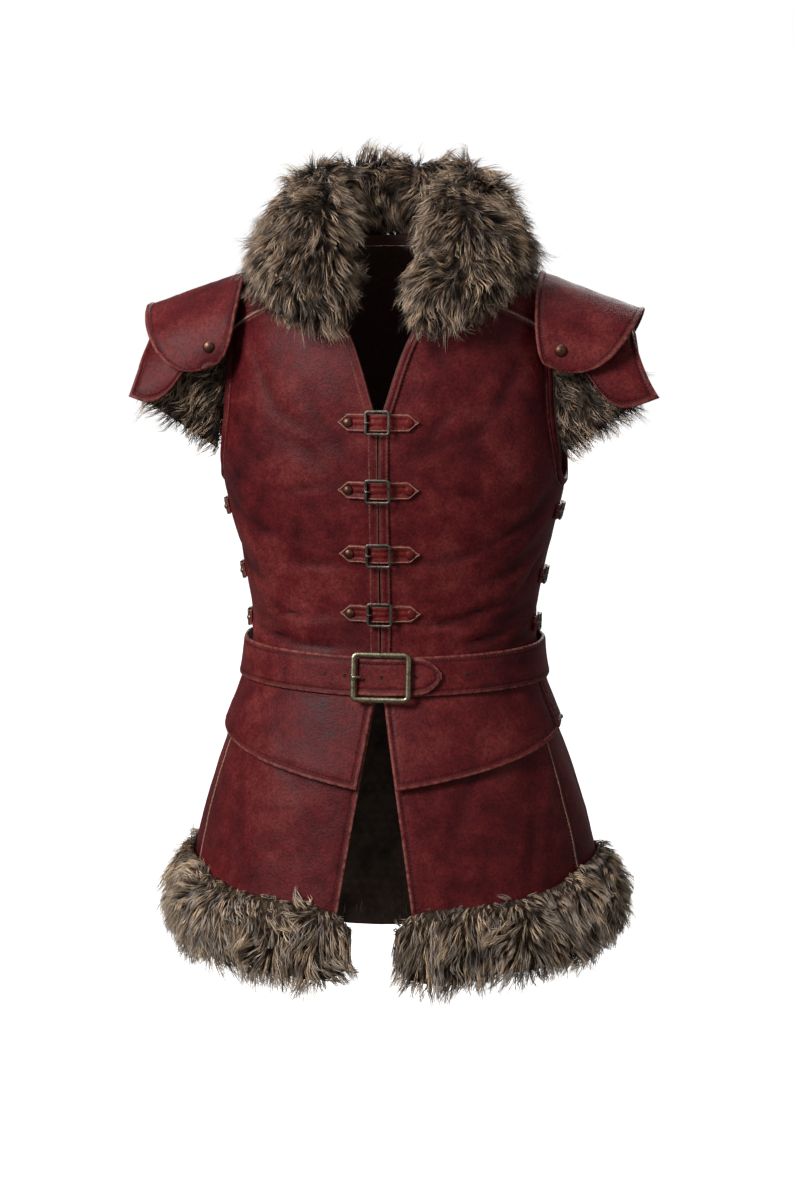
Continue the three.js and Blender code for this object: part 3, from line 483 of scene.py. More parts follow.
def grid_normals(grid, away, closed=False):
    if closed:
        wide = np.concatenate([grid[:, -1:], grid, grid[:, :1]], axis=1)
        across = np.gradient(wide, axis=1)[:, 1:-1]
    else:
        across = np.gradient(grid, axis=1)
    normal = unit(np.cross(across, np.gradient(grid, axis=0)))
    return normal * np.sign((normal * away).sum(axis=-1).mean())


def run_lengths(grid, axis):
    """Length along one direction of a grid, from its first row or column."""
    steps = np.linalg.norm(np.diff(grid, axis=axis), axis=-1)
    lead = np.zeros_like(np.take(steps, [0], axis=axis))
    return np.concatenate([lead, np.cumsum(steps, axis=axis)], axis=axis)


def edge_distance(grid, edges):
    """Distance from the nearest of the named edges of a grid of points."""
    far = np.full(grid.shape[:2], FAR_FROM_EDGE)
    along, up = run_lengths(grid, 1), run_lengths(grid, 0)
    distances = {
        "start": along, "end": along[:, -1:] - along, "bottom": up, "top": up[-1:] - up,
    }
    for edge in edges:
        far = np.minimum(far, distances[edge])
    return far


def rolled_lip(distance, height):
    """The rounded edge of turned leather, with the groove that its stitches pull down."""
    width, groove = 5.2, 0.8
    across = np.clip((distance - width / 2) / (width / 2), -1, 1)
    lip = height * np.sqrt(np.maximum(1 - across**2, 0))
    return lip - groove * bump(distance - width - 1.5, 1.1)


def wall_faces(rows, columns, closed):
    """Faces of a closed wall whose outer points come first, then its inner ones."""
    index = np.arange(rows * columns).reshape(rows, columns)
    if closed:
        index = np.concatenate([index, index[:, :1]], axis=1)
    outer = np.stack([index[:-1, :-1], index[:-1, 1:], index[1:, 1:], index[1:, :-1]], -1)
    outer = outer.reshape(-1, 4)
    below = rows * columns
    low, high = index[0], index[-1]
    rims = [
        np.stack([low[1:], low[:-1], low[:-1] + below, low[1:] + below], -1),
        np.stack([high[:-1], high[1:], high[1:] + below, high[:-1] + below], -1),
    ]
    if not closed:
        start, end = index[:, 0], index[:, -1]
        rims.append(np.stack([start[:-1], start[1:], start[1:] + below, start[:-1] + below], -1))
        rims.append(np.stack([end[1:], end[:-1], end[:-1] + below, end[1:] + below], -1))
    rims = np.concatenate(rims)
    return outer, outer[:, ::-1] + below, rims


class Shell:
    """A leather or cloth wall: its outer points, its normals, and its inner points."""

    def __init__(self, base, away, thickness, lift=0, edges=(), lip=0, closed=False):
        self.closed = closed
        # hollow: where a material paints shade in creases; nothing unless a maker sets it
        self.hollow = np.zeros(base.shape[:2])
        self.base = base
        self.normal = grid_normals(base, away, closed)
        self.distance = edge_distance(base, edges)
        rise = np.broadcast_to(np.asarray(lift, float), base.shape[:2])
        self.inner = base + self.normal * (rise - thickness)[..., None]
        if lip:
            rise = rise + rolled_lip(self.distance, lip)
        self.outer = base + self.normal * rise[..., None]

    def mesh(self, name, faces_out):
        rows, columns = self.outer.shape[:2]
        outer, inner, rims = wall_faces(rows, columns, self.closed)
        faces = np.concatenate([outer, rims, inner])
        if not faces_out:
            faces = faces[:, ::-1]
        points = np.concatenate([self.outer.reshape(-1, 3), self.inner.reshape(-1, 3)])
        values = {"edge": self.distance, "hollow": self.hollow}
        values = {label: np.tile(value.ravel(), 2) for label, value in values.items()}
        mesh = mesh_of(name, points, faces.tolist(), values=values)
        flat = np.stack([run_lengths(self.base, 1), run_lengths(self.base, 0)], -1)
        flat = np.tile(flat.reshape(-1, 2), (2, 1)) * MM
        corners = np.empty(len(mesh.loops), np.int32)
        mesh.loops.foreach_get("vertex_index", corners)
        layer = mesh.uv_layers.new(name="cut")
        layer.data.foreach_set("uv", flat[corners].astype(np.float32).ravel())
        inside = np.zeros(len(faces), np.int32)
        inside[-len(inner):] = 1
        mesh.polygons.foreach_set("material_index", inside)
        mesh.shade_smooth()
        mesh.set_sharp_from_angle(angle=SHARP_EDGE)
        return mesh

    def faces_out(self):
        """Whether the grid's own order already makes its outer faces point outwards."""
        across = np.gradient(self.outer, axis=1)
        natural = np.cross(across, np.gradient(self.outer, axis=0))
        return bool((natural * self.normal).sum() > 0)

    def piece(self, name, outside, inside):
        return placed_object(name, self.mesh(name, self.faces_out()), (outside, inside))

    def inset_line(self, edge, inset, lift, clear=()):
        """Points and normals along one edge, at a distance in from it, short of other edges."""
        turned = {
            "bottom": lambda grid: grid, "top": lambda grid: grid[::-1],
            "start": lambda grid: grid.swapaxes(0, 1),
            "end": lambda grid: grid[:, ::-1].swapaxes(0, 1),
        }[edge]
        around = [self.outer, self.normal, self.base]
        if self.closed:
            around = [np.concatenate([grid, grid[:, :1]], axis=1) for grid in around]
        outer, normal, base = (turned(grid) for grid in around)
        lengths = run_lengths(base, 0)
        line = np.empty((outer.shape[1], 6))
        for column in range(outer.shape[1]):
            row = np.interp(inset, lengths[:, column], np.arange(len(outer)))
            low = min(int(row), len(outer) - 2)
            share = row - low
            line[column, :3] = mix(outer[low, column], outer[low + 1, column], share)
            line[column, 3:] = mix(normal[low, column], normal[low + 1, column], share)
        run = run_lengths(line[None, :, :3], 1)[0]
        first = inset if "first" in clear else 0
        last = run[-1] - (inset if "last" in clear else 0)
        wanted = np.linspace(first, last, max(4, int((last - first) / 4)))
        spaced = np.stack([np.interp(wanted, run, line[:, axis]) for axis in range(6)], -1)
        normals = unit(spaced[:, 3:])
        return spaced[:, :3] + normals * lift, normals


def lofted(name, rings, closed, materials=(), values=None):
    """A skin through rings of points, closed on itself or with its ends filled."""
    count, size = rings.shape[:2]
    index = np.arange(count * size).reshape(count, size)
    beside = np.roll(index, -1, axis=1)
    ahead = np.roll(index, -1, axis=0), np.roll(beside, -1, axis=0)
    quads = np.stack([index, beside, ahead[1], ahead[0]], -1)
    faces = (quads if closed else quads[:-1]).reshape(-1, 4).tolist()
    if not closed:
        faces.append(index[0, ::-1].tolist())
        faces.append(index[-1].tolist())
    values = values or {"edge": np.full(count * size, FAR_FROM_EDGE)}
    mesh = mesh_of(name, rings.reshape(-1, 3), faces, values=values)
    point_faces_out(mesh)
    mesh.shade_smooth()
    return placed_object(name, mesh, materials)


def point_faces_out(mesh):
    """Turns a closed mesh inside out if the volume inside its faces comes out negative."""
    volume = 0.0
    mesh.calc_loop_triangles()
    for triangle in mesh.loop_triangles:
        a, b, c = (mesh.vertices[corner].co for corner in triangle.vertices)
        volume += a.dot(b.cross(c))
    if volume < 0:
        mesh.flip_normals()


def joined(name, pieces):
    """One object from several, with the first one's name replaced."""
    with bpy.context.temp_override(
        active_object=pieces[0], selected_editable_objects=pieces, object=pieces[0]
    ):
        bpy.ops.object.join()
    pieces[0].name = name
    pieces[0].data.name = name
    return pieces[0]


# Sizes and colours that a user would change


def linear(hex_colour):
    """An sRGB hex colour as linear red, green, blue and alpha."""
    parts = [int(hex_colour[at : at + 2], 16) / 255 for at in (1, 3, 5)]
    parts = [part / 12.92 if part <= 0.04045 else ((part + 0.055) / 1.055) ** 2.4
             for part in parts]
    return (*parts, 1.0)


def colour_property(name, description, hex_colour):
    return bpy.props.FloatVectorProperty(
        name=name, description=description, subtype="COLOR", size=4, min=0, max=1,
        default=linear(hex_colour),
    )


def length_property(name, description, metres):
    return bpy.props.FloatProperty(
        name=name, description=description, default=metres, min=0, unit="LENGTH", subtype="DISTANCE"
    )


class VestLeather(bpy.types.PropertyGroup):
    hide_thickness: length_property("Hide thickness", "Thickness of the panels", 0.0025)
    strap_thickness: length_property("Strap thickness", "Thickness of the small straps", 0.0024)
    lining_thickness: length_property("Lining thickness", "Thickness of the lining cloth", 0.0015)
    stitch_pitch: length_property("Stitch pitch", "From one stitch to the next", 0.0042)
    hide: colour_property("Hide", "Colour of the waxed hide", "#6b1e21")
    hide_light: colour_property("Hide, light", "Where the dye took less", "#8f3d39")
    # Hide, dark is also the colour of the painted shade in creases, in stitch grooves and inside the
    # punched holes
    hide_dark: colour_property("Hide, dark", "Where the dye pooled", "#2e0a10")
    strap: colour_property("Straps", "Colour of the small straps", "#7a2320")
    # Rubbed pale along turned edges, and a painted highlight along their crest
    edge_wear_and_highlight: colour_property("Worn edges", "Where turned edges have rubbed", "#a06459")
    piping: colour_property("Piping", "The narrow rubbed piping", "#b58674")
    flesh: colour_property("Flesh side", "The brushed inner side of the hide", "#5e3c30")
    thread: colour_property("Thread", "Waxed linen thread", "#744038")
    lining: colour_property("Lining", "Plain woven lining", "#5e4a3f")


class VestFur(bpy.types.PropertyGroup):
    hair_length: length_property("Hair length", "Length of the longest hairs", 0.039)
    hair_width: length_property("Hair width", "Width of a strand at its root", 0.00095)
    seed: bpy.props.IntProperty(name="Seed", description="Which way the locks fall", default=7)
    root: colour_property("Roots", "Colour at the skin", "#17110e")
    middle: colour_property("Middle", "Colour half way up", "#96765c")
    tip: colour_property("Tips", "Colour of the guard hairs' ends", "#fbdcb8")
    grey: colour_property("Grey hairs", "Colour of the cooler locks", "#c9bcb2")


class VestMetal(bpy.types.PropertyGroup):
    pewter: colour_property("Pewter", "Small buckles and rivets", "#8b8078")
    pewter_dark: colour_property("Pewter, tarnished", "Its hollows", "#352e2a")
    bronze: colour_property("Bronze", "The rivets' heads", "#80594a")
    bronze_dark: colour_property("Bronze, tarnished", "Their hollows", "#33201a")
    brass: colour_property("Brass", "The belt buckle", "#a69c82")
    brass_dark: colour_property("Brass, tarnished", "Its hollows", "#4d4430")


class VestStage(bpy.types.PropertyGroup):
    azimuth: bpy.props.FloatProperty(
        name="Azimuth", description="Camera's turn round the vest", default=math.radians(8),
        subtype="ANGLE",
    )
    elevation: bpy.props.FloatProperty(
        name="Elevation", description="Camera's height over the horizon", default=math.radians(8),
        subtype="ANGLE",
    )
    distance: length_property("Distance", "From the camera to the vest", 4.0)
    lens: bpy.props.FloatProperty(
        name="Lens", description="Focal length in millimetres", default=102.5, min=10
    )
    floor: colour_property("Floor", "The pale floor", "#fbfaf9")
    room_light: bpy.props.FloatProperty(
        name="Room light", description="Strength of the light from all round", default=0.15, min=0
    )


# Materials


NOISE, CELLS, RAMP = "ShaderNodeTexNoise", "ShaderNodeTexVoronoi", "ShaderNodeValToRGB"
RANGE, MATH, MIX = "ShaderNodeMapRange", "ShaderNodeMath", "ShaderNodeMix"
BUMP, COORDINATES, NAMED = "ShaderNodeBump", "ShaderNodeTexCoord", "ShaderNodeAttribute"
OWN_VALUE, RANDOM = "GeometryNodeInputNamedAttribute", "FunctionNodeRandomValue"
ALIGN = "FunctionNodeAlignRotationToVector"


def add(tree, kind, inputs=None, stops=(), **settings):
    """Adds a node with its settings. An input takes a value, or a link from a socket or a node."""
    node = tree.nodes.new(kind)
    for label, value in settings.items():
        setattr(node, label, value)
    for label, value in (inputs or {}).items():
        named = [socket for socket in node.inputs if socket.enabled and socket.name == label]
        socket = named[0] if named else node.inputs[label]
        if isinstance(value, bpy.types.Node):
            value = next(output for output in value.outputs if output.enabled)
        if isinstance(value, bpy.types.NodeSocket):
            tree.links.new(value, socket)
        else:
            socket.default_value = value
    elements = node.color_ramp.elements if stops else ()
    while len(elements) < len(stops):
        elements.new(0.5)
    for element, (position, colour) in zip(elements, stops):
        element.position = position
        element.color = colour
    return node


def new_material(name):
    """An empty material, its tree, and the place on the object that its patterns read."""
    material = bpy.data.materials.new(name)
    material.use_nodes = True
    tree = material.node_tree
    tree.nodes.clear()
    return material, tree, add(tree, COORDINATES).outputs["Object"]


def toned(colour, amount):
    return (*(min(part * amount, 1) for part in colour[:3]), 1.0)


def finished(material, tree, shader_inputs):
    shader = add(tree, "ShaderNodeBsdfPrincipled", shader_inputs)
    add(tree, "ShaderNodeOutputMaterial", {"Surface": shader})
    return material


def waxed_cowhide(name, base, light, dark, edge_wear_and_highlight, groove_shade=0.6):
    """Full-grain cowhide, drum-dyed and waxed by hand: cloudy colour, a satin gloss that breaks up
    over a fine pebbled grain, turned edges rubbed pale with a painted highlight along their crest,
    and painted shade in the deeper creases and in the stitch grooves."""
    material, tree, place = new_material(name)
    cloud, mottle, spot, rub, wrinkle = 0.11, 0.026, 0.0032, 0.006, 0.009
    clouds = add(tree, NOISE, {"Vector": place, "Scale": 1 / cloud, "Detail": 3, "Roughness": 0.55})
    mottles = add(tree, NOISE, {"Vector": place, "Scale": 1 / mottle, "Detail": 6, "Roughness": 0.68})
    spots = add(tree, NOISE, {"Vector": place, "Scale": 1 / spot, "Detail": 4, "Roughness": 0.6})
    taken = add(tree, MATH, {0: clouds, 1: mottles}, operation="ADD")
    taken = add(tree, RANGE, {"Value": taken, "From Min": 0.5, "From Max": 1.5})
    dye = add(tree, RAMP, {"Fac": taken}, [(0.08, dark), (0.5, base), (0.9, light)])
    freckled = add(tree, RANGE, {"Value": spots, "From Min": 0.4, "From Max": 0.68, "To Max": 0.62})
    dye = add(tree, MIX, {"Factor": freckled, "A": dye, "B": dark}, data_type="RGBA")
    # Painted shade: the deeper a point lies in a crease or fold, the more its colour goes to the dark
    hollow = add(tree, NAMED, attribute_name="hollow").outputs["Fac"]
    crease_shade = add(tree, MATH, {0: hollow, 1: 0.8}, operation="MULTIPLY")
    dye = add(tree, MIX, {"Factor": crease_shade, "A": dye, "B": dark}, data_type="RGBA")
    edge = add(tree, NAMED, attribute_name="edge").outputs["Fac"]
    # Painted shade: a dark band 5 to 9.5 mm in from a turned edge, in the groove that its stitches pull
    # down
    inner = add(tree, RANGE, {"Value": edge, "From Min": 5, "From Max": 6.6, "To Max": groove_shade})
    outer = add(tree, RANGE, {
        "Value": edge, "From Min": 6.8, "From Max": 9.5, "To Min": 1, "To Max": 0,
    })
    groove = add(tree, MATH, {0: inner, 1: outer}, operation="MULTIPLY")
    dye = add(tree, MIX, {"Factor": groove, "A": dye, "B": dark}, data_type="RGBA")
    # Rubbed pale near a turned edge, broken up by noise; on a rolled lip the same band also paints the
    # highlight along its crest
    near = add(tree, RANGE, {
        "Value": edge, "From Min": 1.2, "From Max": 3.8, "To Min": 1, "To Max": 0,
    })
    rubs = add(tree, NOISE, {"Vector": place, "Scale": 1 / rub, "Detail": 4})
    rubs = add(tree, RANGE, {
        "Value": rubs, "From Min": 0.36, "From Max": 0.66, "To Min": 0.1, "To Max": 0.8,
    })
    rubbed = add(tree, MATH, {0: near, 1: rubs}, operation="MULTIPLY")
    dye = add(tree, MIX, {"Factor": rubbed, "A": dye, "B": edge_wear_and_highlight}, data_type="RGBA")
    # grain cells are about 1 mm on the hide; 2.4 mm ones show at arm's length
    grain = add(tree, CELLS, {"Vector": place, "Scale": 1 / 0.0024})
    wrinkles = add(tree, NOISE, {"Vector": place, "Scale": 1 / wrinkle, "Detail": 6, "Roughness": 0.7})
    relief = add(tree, MATH, {0: grain, 1: 0.35, 2: wrinkles}, operation="MULTIPLY_ADD")
    gloss = add(tree, RANGE, {
        "Value": mottles, "From Min": 0.3, "From Max": 0.7, "To Min": 0.4, "To Max": 0.58,
    })
    return finished(material, tree, {
        "Base Color": dye,
        "Roughness": gloss,
        "IOR": 1.5,
        "Specular IOR Level": 0.16,
        "Normal": add(tree, BUMP, {"Strength": 0.5, "Distance": 0.0011, "Height": relief}),
    })


def brushed_flesh_side(name, base):
    """The split, brushed inner side of the hide: dark, dull and slightly hairy."""
    material, tree, place = new_material(name)
    nap = 0.0035
    fibres = add(tree, NOISE, {"Vector": place, "Scale": 1 / nap, "Detail": 6, "Roughness": 0.75})
    return finished(material, tree, {
        "Base Color": add(tree, RAMP, {"Fac": fibres}, [(0.3, toned(base, 0.6)), (0.75, base)]),
        "Roughness": 0.92,
        "Sheen Weight": 0.15,
        "Normal": add(tree, BUMP, {"Strength": 0.6, "Distance": 0.0008, "Height": fibres}),
    })


def woven_lining(name, base):
    """Plain-woven cotton lining, piece-dyed: matt, with threads about 0.8 mm apart drawn at 2 mm,
    a painted highlight on the raised threads and painted shade in its creases.
    """
    material, tree, place = new_material(name)
    thread, patch, waves_per_metre = 0.002, 0.03, 20
    cut = add(tree, "ShaderNodeUVMap", uv_map="cut")
    threads = {"Vector": cut, "Scale": 1 / thread / waves_per_metre, "Distortion": 0.4, "Detail": 1}
    warp = add(tree, "ShaderNodeTexWave", threads, bands_direction="X").outputs["Fac"]
    weft = add(tree, "ShaderNodeTexWave", threads, bands_direction="Y").outputs["Fac"]
    weave = add(tree, MATH, {0: warp, 1: weft}, operation="MULTIPLY")
    patches = add(tree, NOISE, {"Vector": place, "Scale": 1 / patch, "Detail": 5, "Roughness": 0.65})
    lighter = toned(base, 1.6)
    shade = add(tree, RAMP, {"Fac": patches}, [(0.32, toned(base, 0.45)), (0.55, base), (0.8, lighter)])
    # Painted highlight: the raised threads of the weave are drawn lighter
    weave_highlight = add(tree, MATH, {0: weave, 1: 0.4}, operation="MULTIPLY")
    cloth = add(tree, MIX, {"Factor": weave_highlight, "A": shade, "B": lighter}, data_type="RGBA")
    # Painted shade: the cloth goes darker in its deeper creases, where shade falls
    hollow = add(tree, NAMED, attribute_name="hollow").outputs["Fac"]
    crease_shade_colour = toned(base, 0.25)
    return finished(material, tree, {
        "Base Color": add(tree, MIX, {"Factor": hollow, "A": cloth, "B": crease_shade_colour}, data_type="RGBA"),
        "Roughness": 0.9,
        "Sheen Weight": 0.1,
        "Normal": add(tree, BUMP, {"Strength": 0.5, "Distance": 0.0006, "Height": weave}),
    })


def long_fur(name, fur, pale_from=1.0, gap_shade_strength=0.9):
    """Dressed long-haired pelt: near-black roots, brown middles and blond guard-hair tips, with
    cooler grey locks among the warm ones, and painted shade in the gaps between locks. A lower
    `pale_from` makes the hair pale sooner; the hem's fur takes a lower one, painted paler to make up
    for the shade under the hem."""
    material, tree, place = new_material(name)
    patch, gap_size = 0.035, 0.02
    up = add(tree, NAMED, attribute_name="tip").outputs["Fac"]
    lock = add(tree, NAMED, attribute_name="shade").outputs["Fac"]
    patches = add(tree, NOISE, {"Vector": place, "Scale": 1 / patch, "Detail": 3})
    warm = add(tree, RAMP, {"Fac": up}, [
        (0, fur.root), (0.2 * pale_from, fur.root), (0.44 * pale_from, fur.middle),
        (0.76 * pale_from, fur.tip), (1, fur.tip),
    ])
    cool = add(tree, RAMP, {"Fac": up}, [
        (0, fur.root), (0.25 * pale_from, fur.root), (0.55 * pale_from, fur.middle),
        (pale_from, fur.grey),
    ])
    coolness = add(tree, MATH, {0: lock, 1: patches}, operation="ADD")
    coolness = add(tree, RANGE, {"Value": coolness, "From Min": 0.85, "From Max": 1.25})
    hair = add(tree, MIX, {"Factor": coolness, "A": warm, "B": cool}, data_type="RGBA")
    dark_lock = add(tree, RANGE, {
        "Value": lock, "From Min": 0, "From Max": 0.28, "To Min": 0.8, "To Max": 0,
    })
    hair = add(tree, MIX, {"Factor": dark_lock, "A": hair, "B": fur.root}, data_type="RGBA")
    # Painted shade: in patches about 20 mm across the hair goes to its root colour, for the shade in
    # the gaps between locks
    gap_noise = add(tree, NOISE, {"Vector": place, "Scale": 1 / gap_size, "Detail": 3})
    gap_shade = add(tree, RANGE, {
        "Value": gap_noise, "From Min": 0.38, "From Max": 0.54, "To Min": gap_shade_strength, "To Max": 0,
    })
    hair = add(tree, MIX, {"Factor": gap_shade, "A": hair, "B": fur.root}, data_type="RGBA")
    return finished(material, tree, {
        "Base Color": hair, "Roughness": 0.62, "IOR": 1.55, "Specular IOR Level": 0.35,
    })


def pelt_skin(name, fur):
    """The dark woolly underfur, seen only between the locks."""
    material, tree, place = new_material(name)
    tuft = 0.005
    tufts = add(tree, NOISE, {"Vector": place, "Scale": 1 / tuft, "Detail": 4, "Roughness": 0.7})
    return finished(material, tree, {
        "Base Color": add(tree, RAMP, {"Fac": tufts}, [(0.3, fur.root), (0.8, toned(fur.middle, 0.5))]),
        "Roughness": 0.95,
        "Normal": add(tree, BUMP, {"Strength": 0.8, "Distance": 0.002, "Height": tufts}),
    })


def cast_metal(name, bright, tarnished, roughness):
    """Cast, tumbled and left to darken: rubbed bright on its rounds, dull in its small dents."""
    material, tree, place = new_material(name)
    bloom, dent, dulled = 0.007, 0.0022, roughness + 0.18
    patina = add(tree, NOISE, {"Vector": place, "Scale": 1 / bloom, "Detail": 6, "Roughness": 0.7})
    dents = add(tree, NOISE, {"Vector": place, "Scale": 1 / dent, "Detail": 3})
    return finished(material, tree, {
        "Base Color": add(tree, RAMP, {"Fac": patina}, [(0.3, tarnished), (0.6, bright), (1, bright)]),
        "Metallic": 1.0,
        "Roughness": add(tree, RANGE, {
            "Value": patina, "From Min": 0.3, "From Max": 0.7, "To Min": dulled, "To Max": roughness,
        }),
        "Normal": add(tree, BUMP, {"Strength": 0.35, "Distance": 0.0005, "Height": dents}),
    })


def waxed_thread(name, base):
    """Twisted linen thread drawn through beeswax: matt, a little darker in its twist."""
    material, tree, place = new_material(name)
    twist = add(tree, NOISE, {"Vector": place, "Scale": 1 / 0.0016, "Detail": 2})
    shade = add(tree, RAMP, {"Fac": twist}, [(0.35, toned(base, 0.45)), (0.6, base)])
    return finished(material, tree, {"Base Color": shade, "Roughness": 0.7})


def finish(name):
    """One of the vest's materials, made the first time that it is asked for."""
    if name in bpy.data.materials:
        return bpy.data.materials[name]
    scene = bpy.context.scene
    leather, fur, metal = scene.vest_leather, scene.vest_fur, scene.vest_metal
    makers = {
        "oxblood_cowhide": lambda: waxed_cowhide(
            name, leather.hide, leather.hide_light, leather.hide_dark, leather.edge_wear_and_highlight),
        "strap_cowhide": lambda: waxed_cowhide(
            name, leather.strap, leather.hide_light, leather.hide_dark, leather.edge_wear_and_highlight, 0.0),
        "flesh_side": lambda: brushed_flesh_side(name, leather.flesh),
        "linen_thread": lambda: waxed_thread(name, leather.thread),
        "worn_piping": lambda: waxed_thread(name, leather.piping),
        "cotton_lining": lambda: woven_lining(name, leather.lining),
        "long_fur": lambda: long_fur(name, fur),
        # The hem's fur: painted paler, with fainter gap shade, to make up for the shade under the hem
        "long_fur_paler": lambda: long_fur(name, fur, 0.62, 0.6),
        "pelt_skin": lambda: pelt_skin(name, fur),
        "cast_pewter": lambda: cast_metal(name, metal.pewter, metal.pewter_dark, 0.34),
        "antique_brass": lambda: cast_metal(name, metal.brass, metal.brass_dark, 0.28),
        "browned_bronze": lambda: cast_metal(name, metal.bronze, metal.bronze_dark, 0.36),
        # Dark cups in the belt's punched holes: painted shade for the dark inside each hole
        "punched_hole": lambda: brushed_flesh_side(name, leather.hide_dark),
    }
    return makers[name]()


# What repeats, or follows a path or a surface


def tree_with(name, sockets, result):
    """A node group with named inputs, given as (name, kind, default), and one geometry output."""
    tree = bpy.data.node_groups.new(name, "GeometryNodeTree")
    tree.is_modifier = True
    for label, kind, value in sockets:
        socket = tree.interface.new_socket(label, in_out="INPUT", socket_type="NodeSocket" + kind)
        if value is not None:
            socket.default_value = value
    tree.interface.new_socket(result, in_out="OUTPUT", socket_type="NodeSocketGeometry")
    return tree, add(tree, "NodeGroupInput").outputs


def close_tree(tree, geometry, material):
    """Ends a tree in plain, smooth geometry with its material."""
    real = add(tree, "GeometryNodeRealizeInstances", {"Geometry": geometry})
    smooth = add(tree, "GeometryNodeSetShadeSmooth", {"Geometry": real})
    painted = add(tree, "GeometryNodeSetMaterial", {"Geometry": smooth, "Material": material})
    add(tree, "NodeGroupOutput", {0: painted})
    return tree


def stitching_tree():
    tree, given = tree_with("Saddle stitching", [
        ("Seam lines", "Geometry", None),
        ("Pitch", "Float", 0.004),
        ("Stitch length", "Float", 0.0028),
        ("Thread width", "Float", 0.0009),
        ("Thread", "Material", None),
    ], "Stitches")
    curve = add(tree, "GeometryNodeMeshToCurve", {"Mesh": given["Seam lines"]})
    pitch = {"Curve": curve, "Length": given["Pitch"]}
    spaced = add(tree, "GeometryNodeResampleCurve", pitch, mode="LENGTH")
    bead = add(tree, "GeometryNodeMeshUVSphere", {"Segments": 4, "Rings": 3, "Radius": 0.5})
    size = add(tree, "ShaderNodeCombineXYZ", {
        "X": given["Stitch length"], "Y": given["Thread width"], "Z": given["Thread width"],
    })
    out = add(tree, OWN_VALUE, {"Name": "out"}, data_type="FLOAT_VECTOR")
    tangent = add(tree, "GeometryNodeInputTangent")
    up = add(tree, ALIGN, {"Vector": out}, axis="Z")
    turn = add(tree, ALIGN, {"Rotation": up, "Vector": tangent}, axis="X", pivot_axis="Z")
    laid = add(tree, "GeometryNodeInstanceOnPoints", {
        "Points": spaced, "Instance": bead, "Rotation": turn, "Scale": size,
    })
    return close_tree(tree, laid, given["Thread"])


def piping_tree():
    tree, given = tree_with("Piping", [
        ("Seam lines", "Geometry", None),
        ("Radius", "Float", 0.0014),
        ("Corners", "Int", 6),
        ("Cover", "Material", None),
    ], "Cord")
    curve = add(tree, "GeometryNodeMeshToCurve", {"Mesh": given["Seam lines"]})
    circle = {"Resolution": given["Corners"], "Radius": given["Radius"]}
    profile = add(tree, "GeometryNodeCurvePrimitiveCircle", circle)
    swept = {"Curve": curve, "Profile Curve": profile, "Fill Caps": True}
    return close_tree(tree, add(tree, "GeometryNodeCurveToMesh", swept), given["Cover"])


def heads_tree():
    tree, given = tree_with("Rivet heads", [
        ("Places", "Geometry", None),
        ("Head", "Object", None),
        ("Metal", "Material", None),
    ], "Rivets")
    head = add(tree, "GeometryNodeObjectInfo", {"Object": given["Head"]}).outputs["Geometry"]
    out = add(tree, OWN_VALUE, {"Name": "out"}, data_type="FLOAT_VECTOR")
    turn = add(tree, ALIGN, {"Vector": out}, axis="Z")
    laid = add(tree, "GeometryNodeInstanceOnPoints", {
        "Points": given["Places"], "Instance": head, "Rotation": turn,
    })
    return close_tree(tree, laid, given["Metal"])


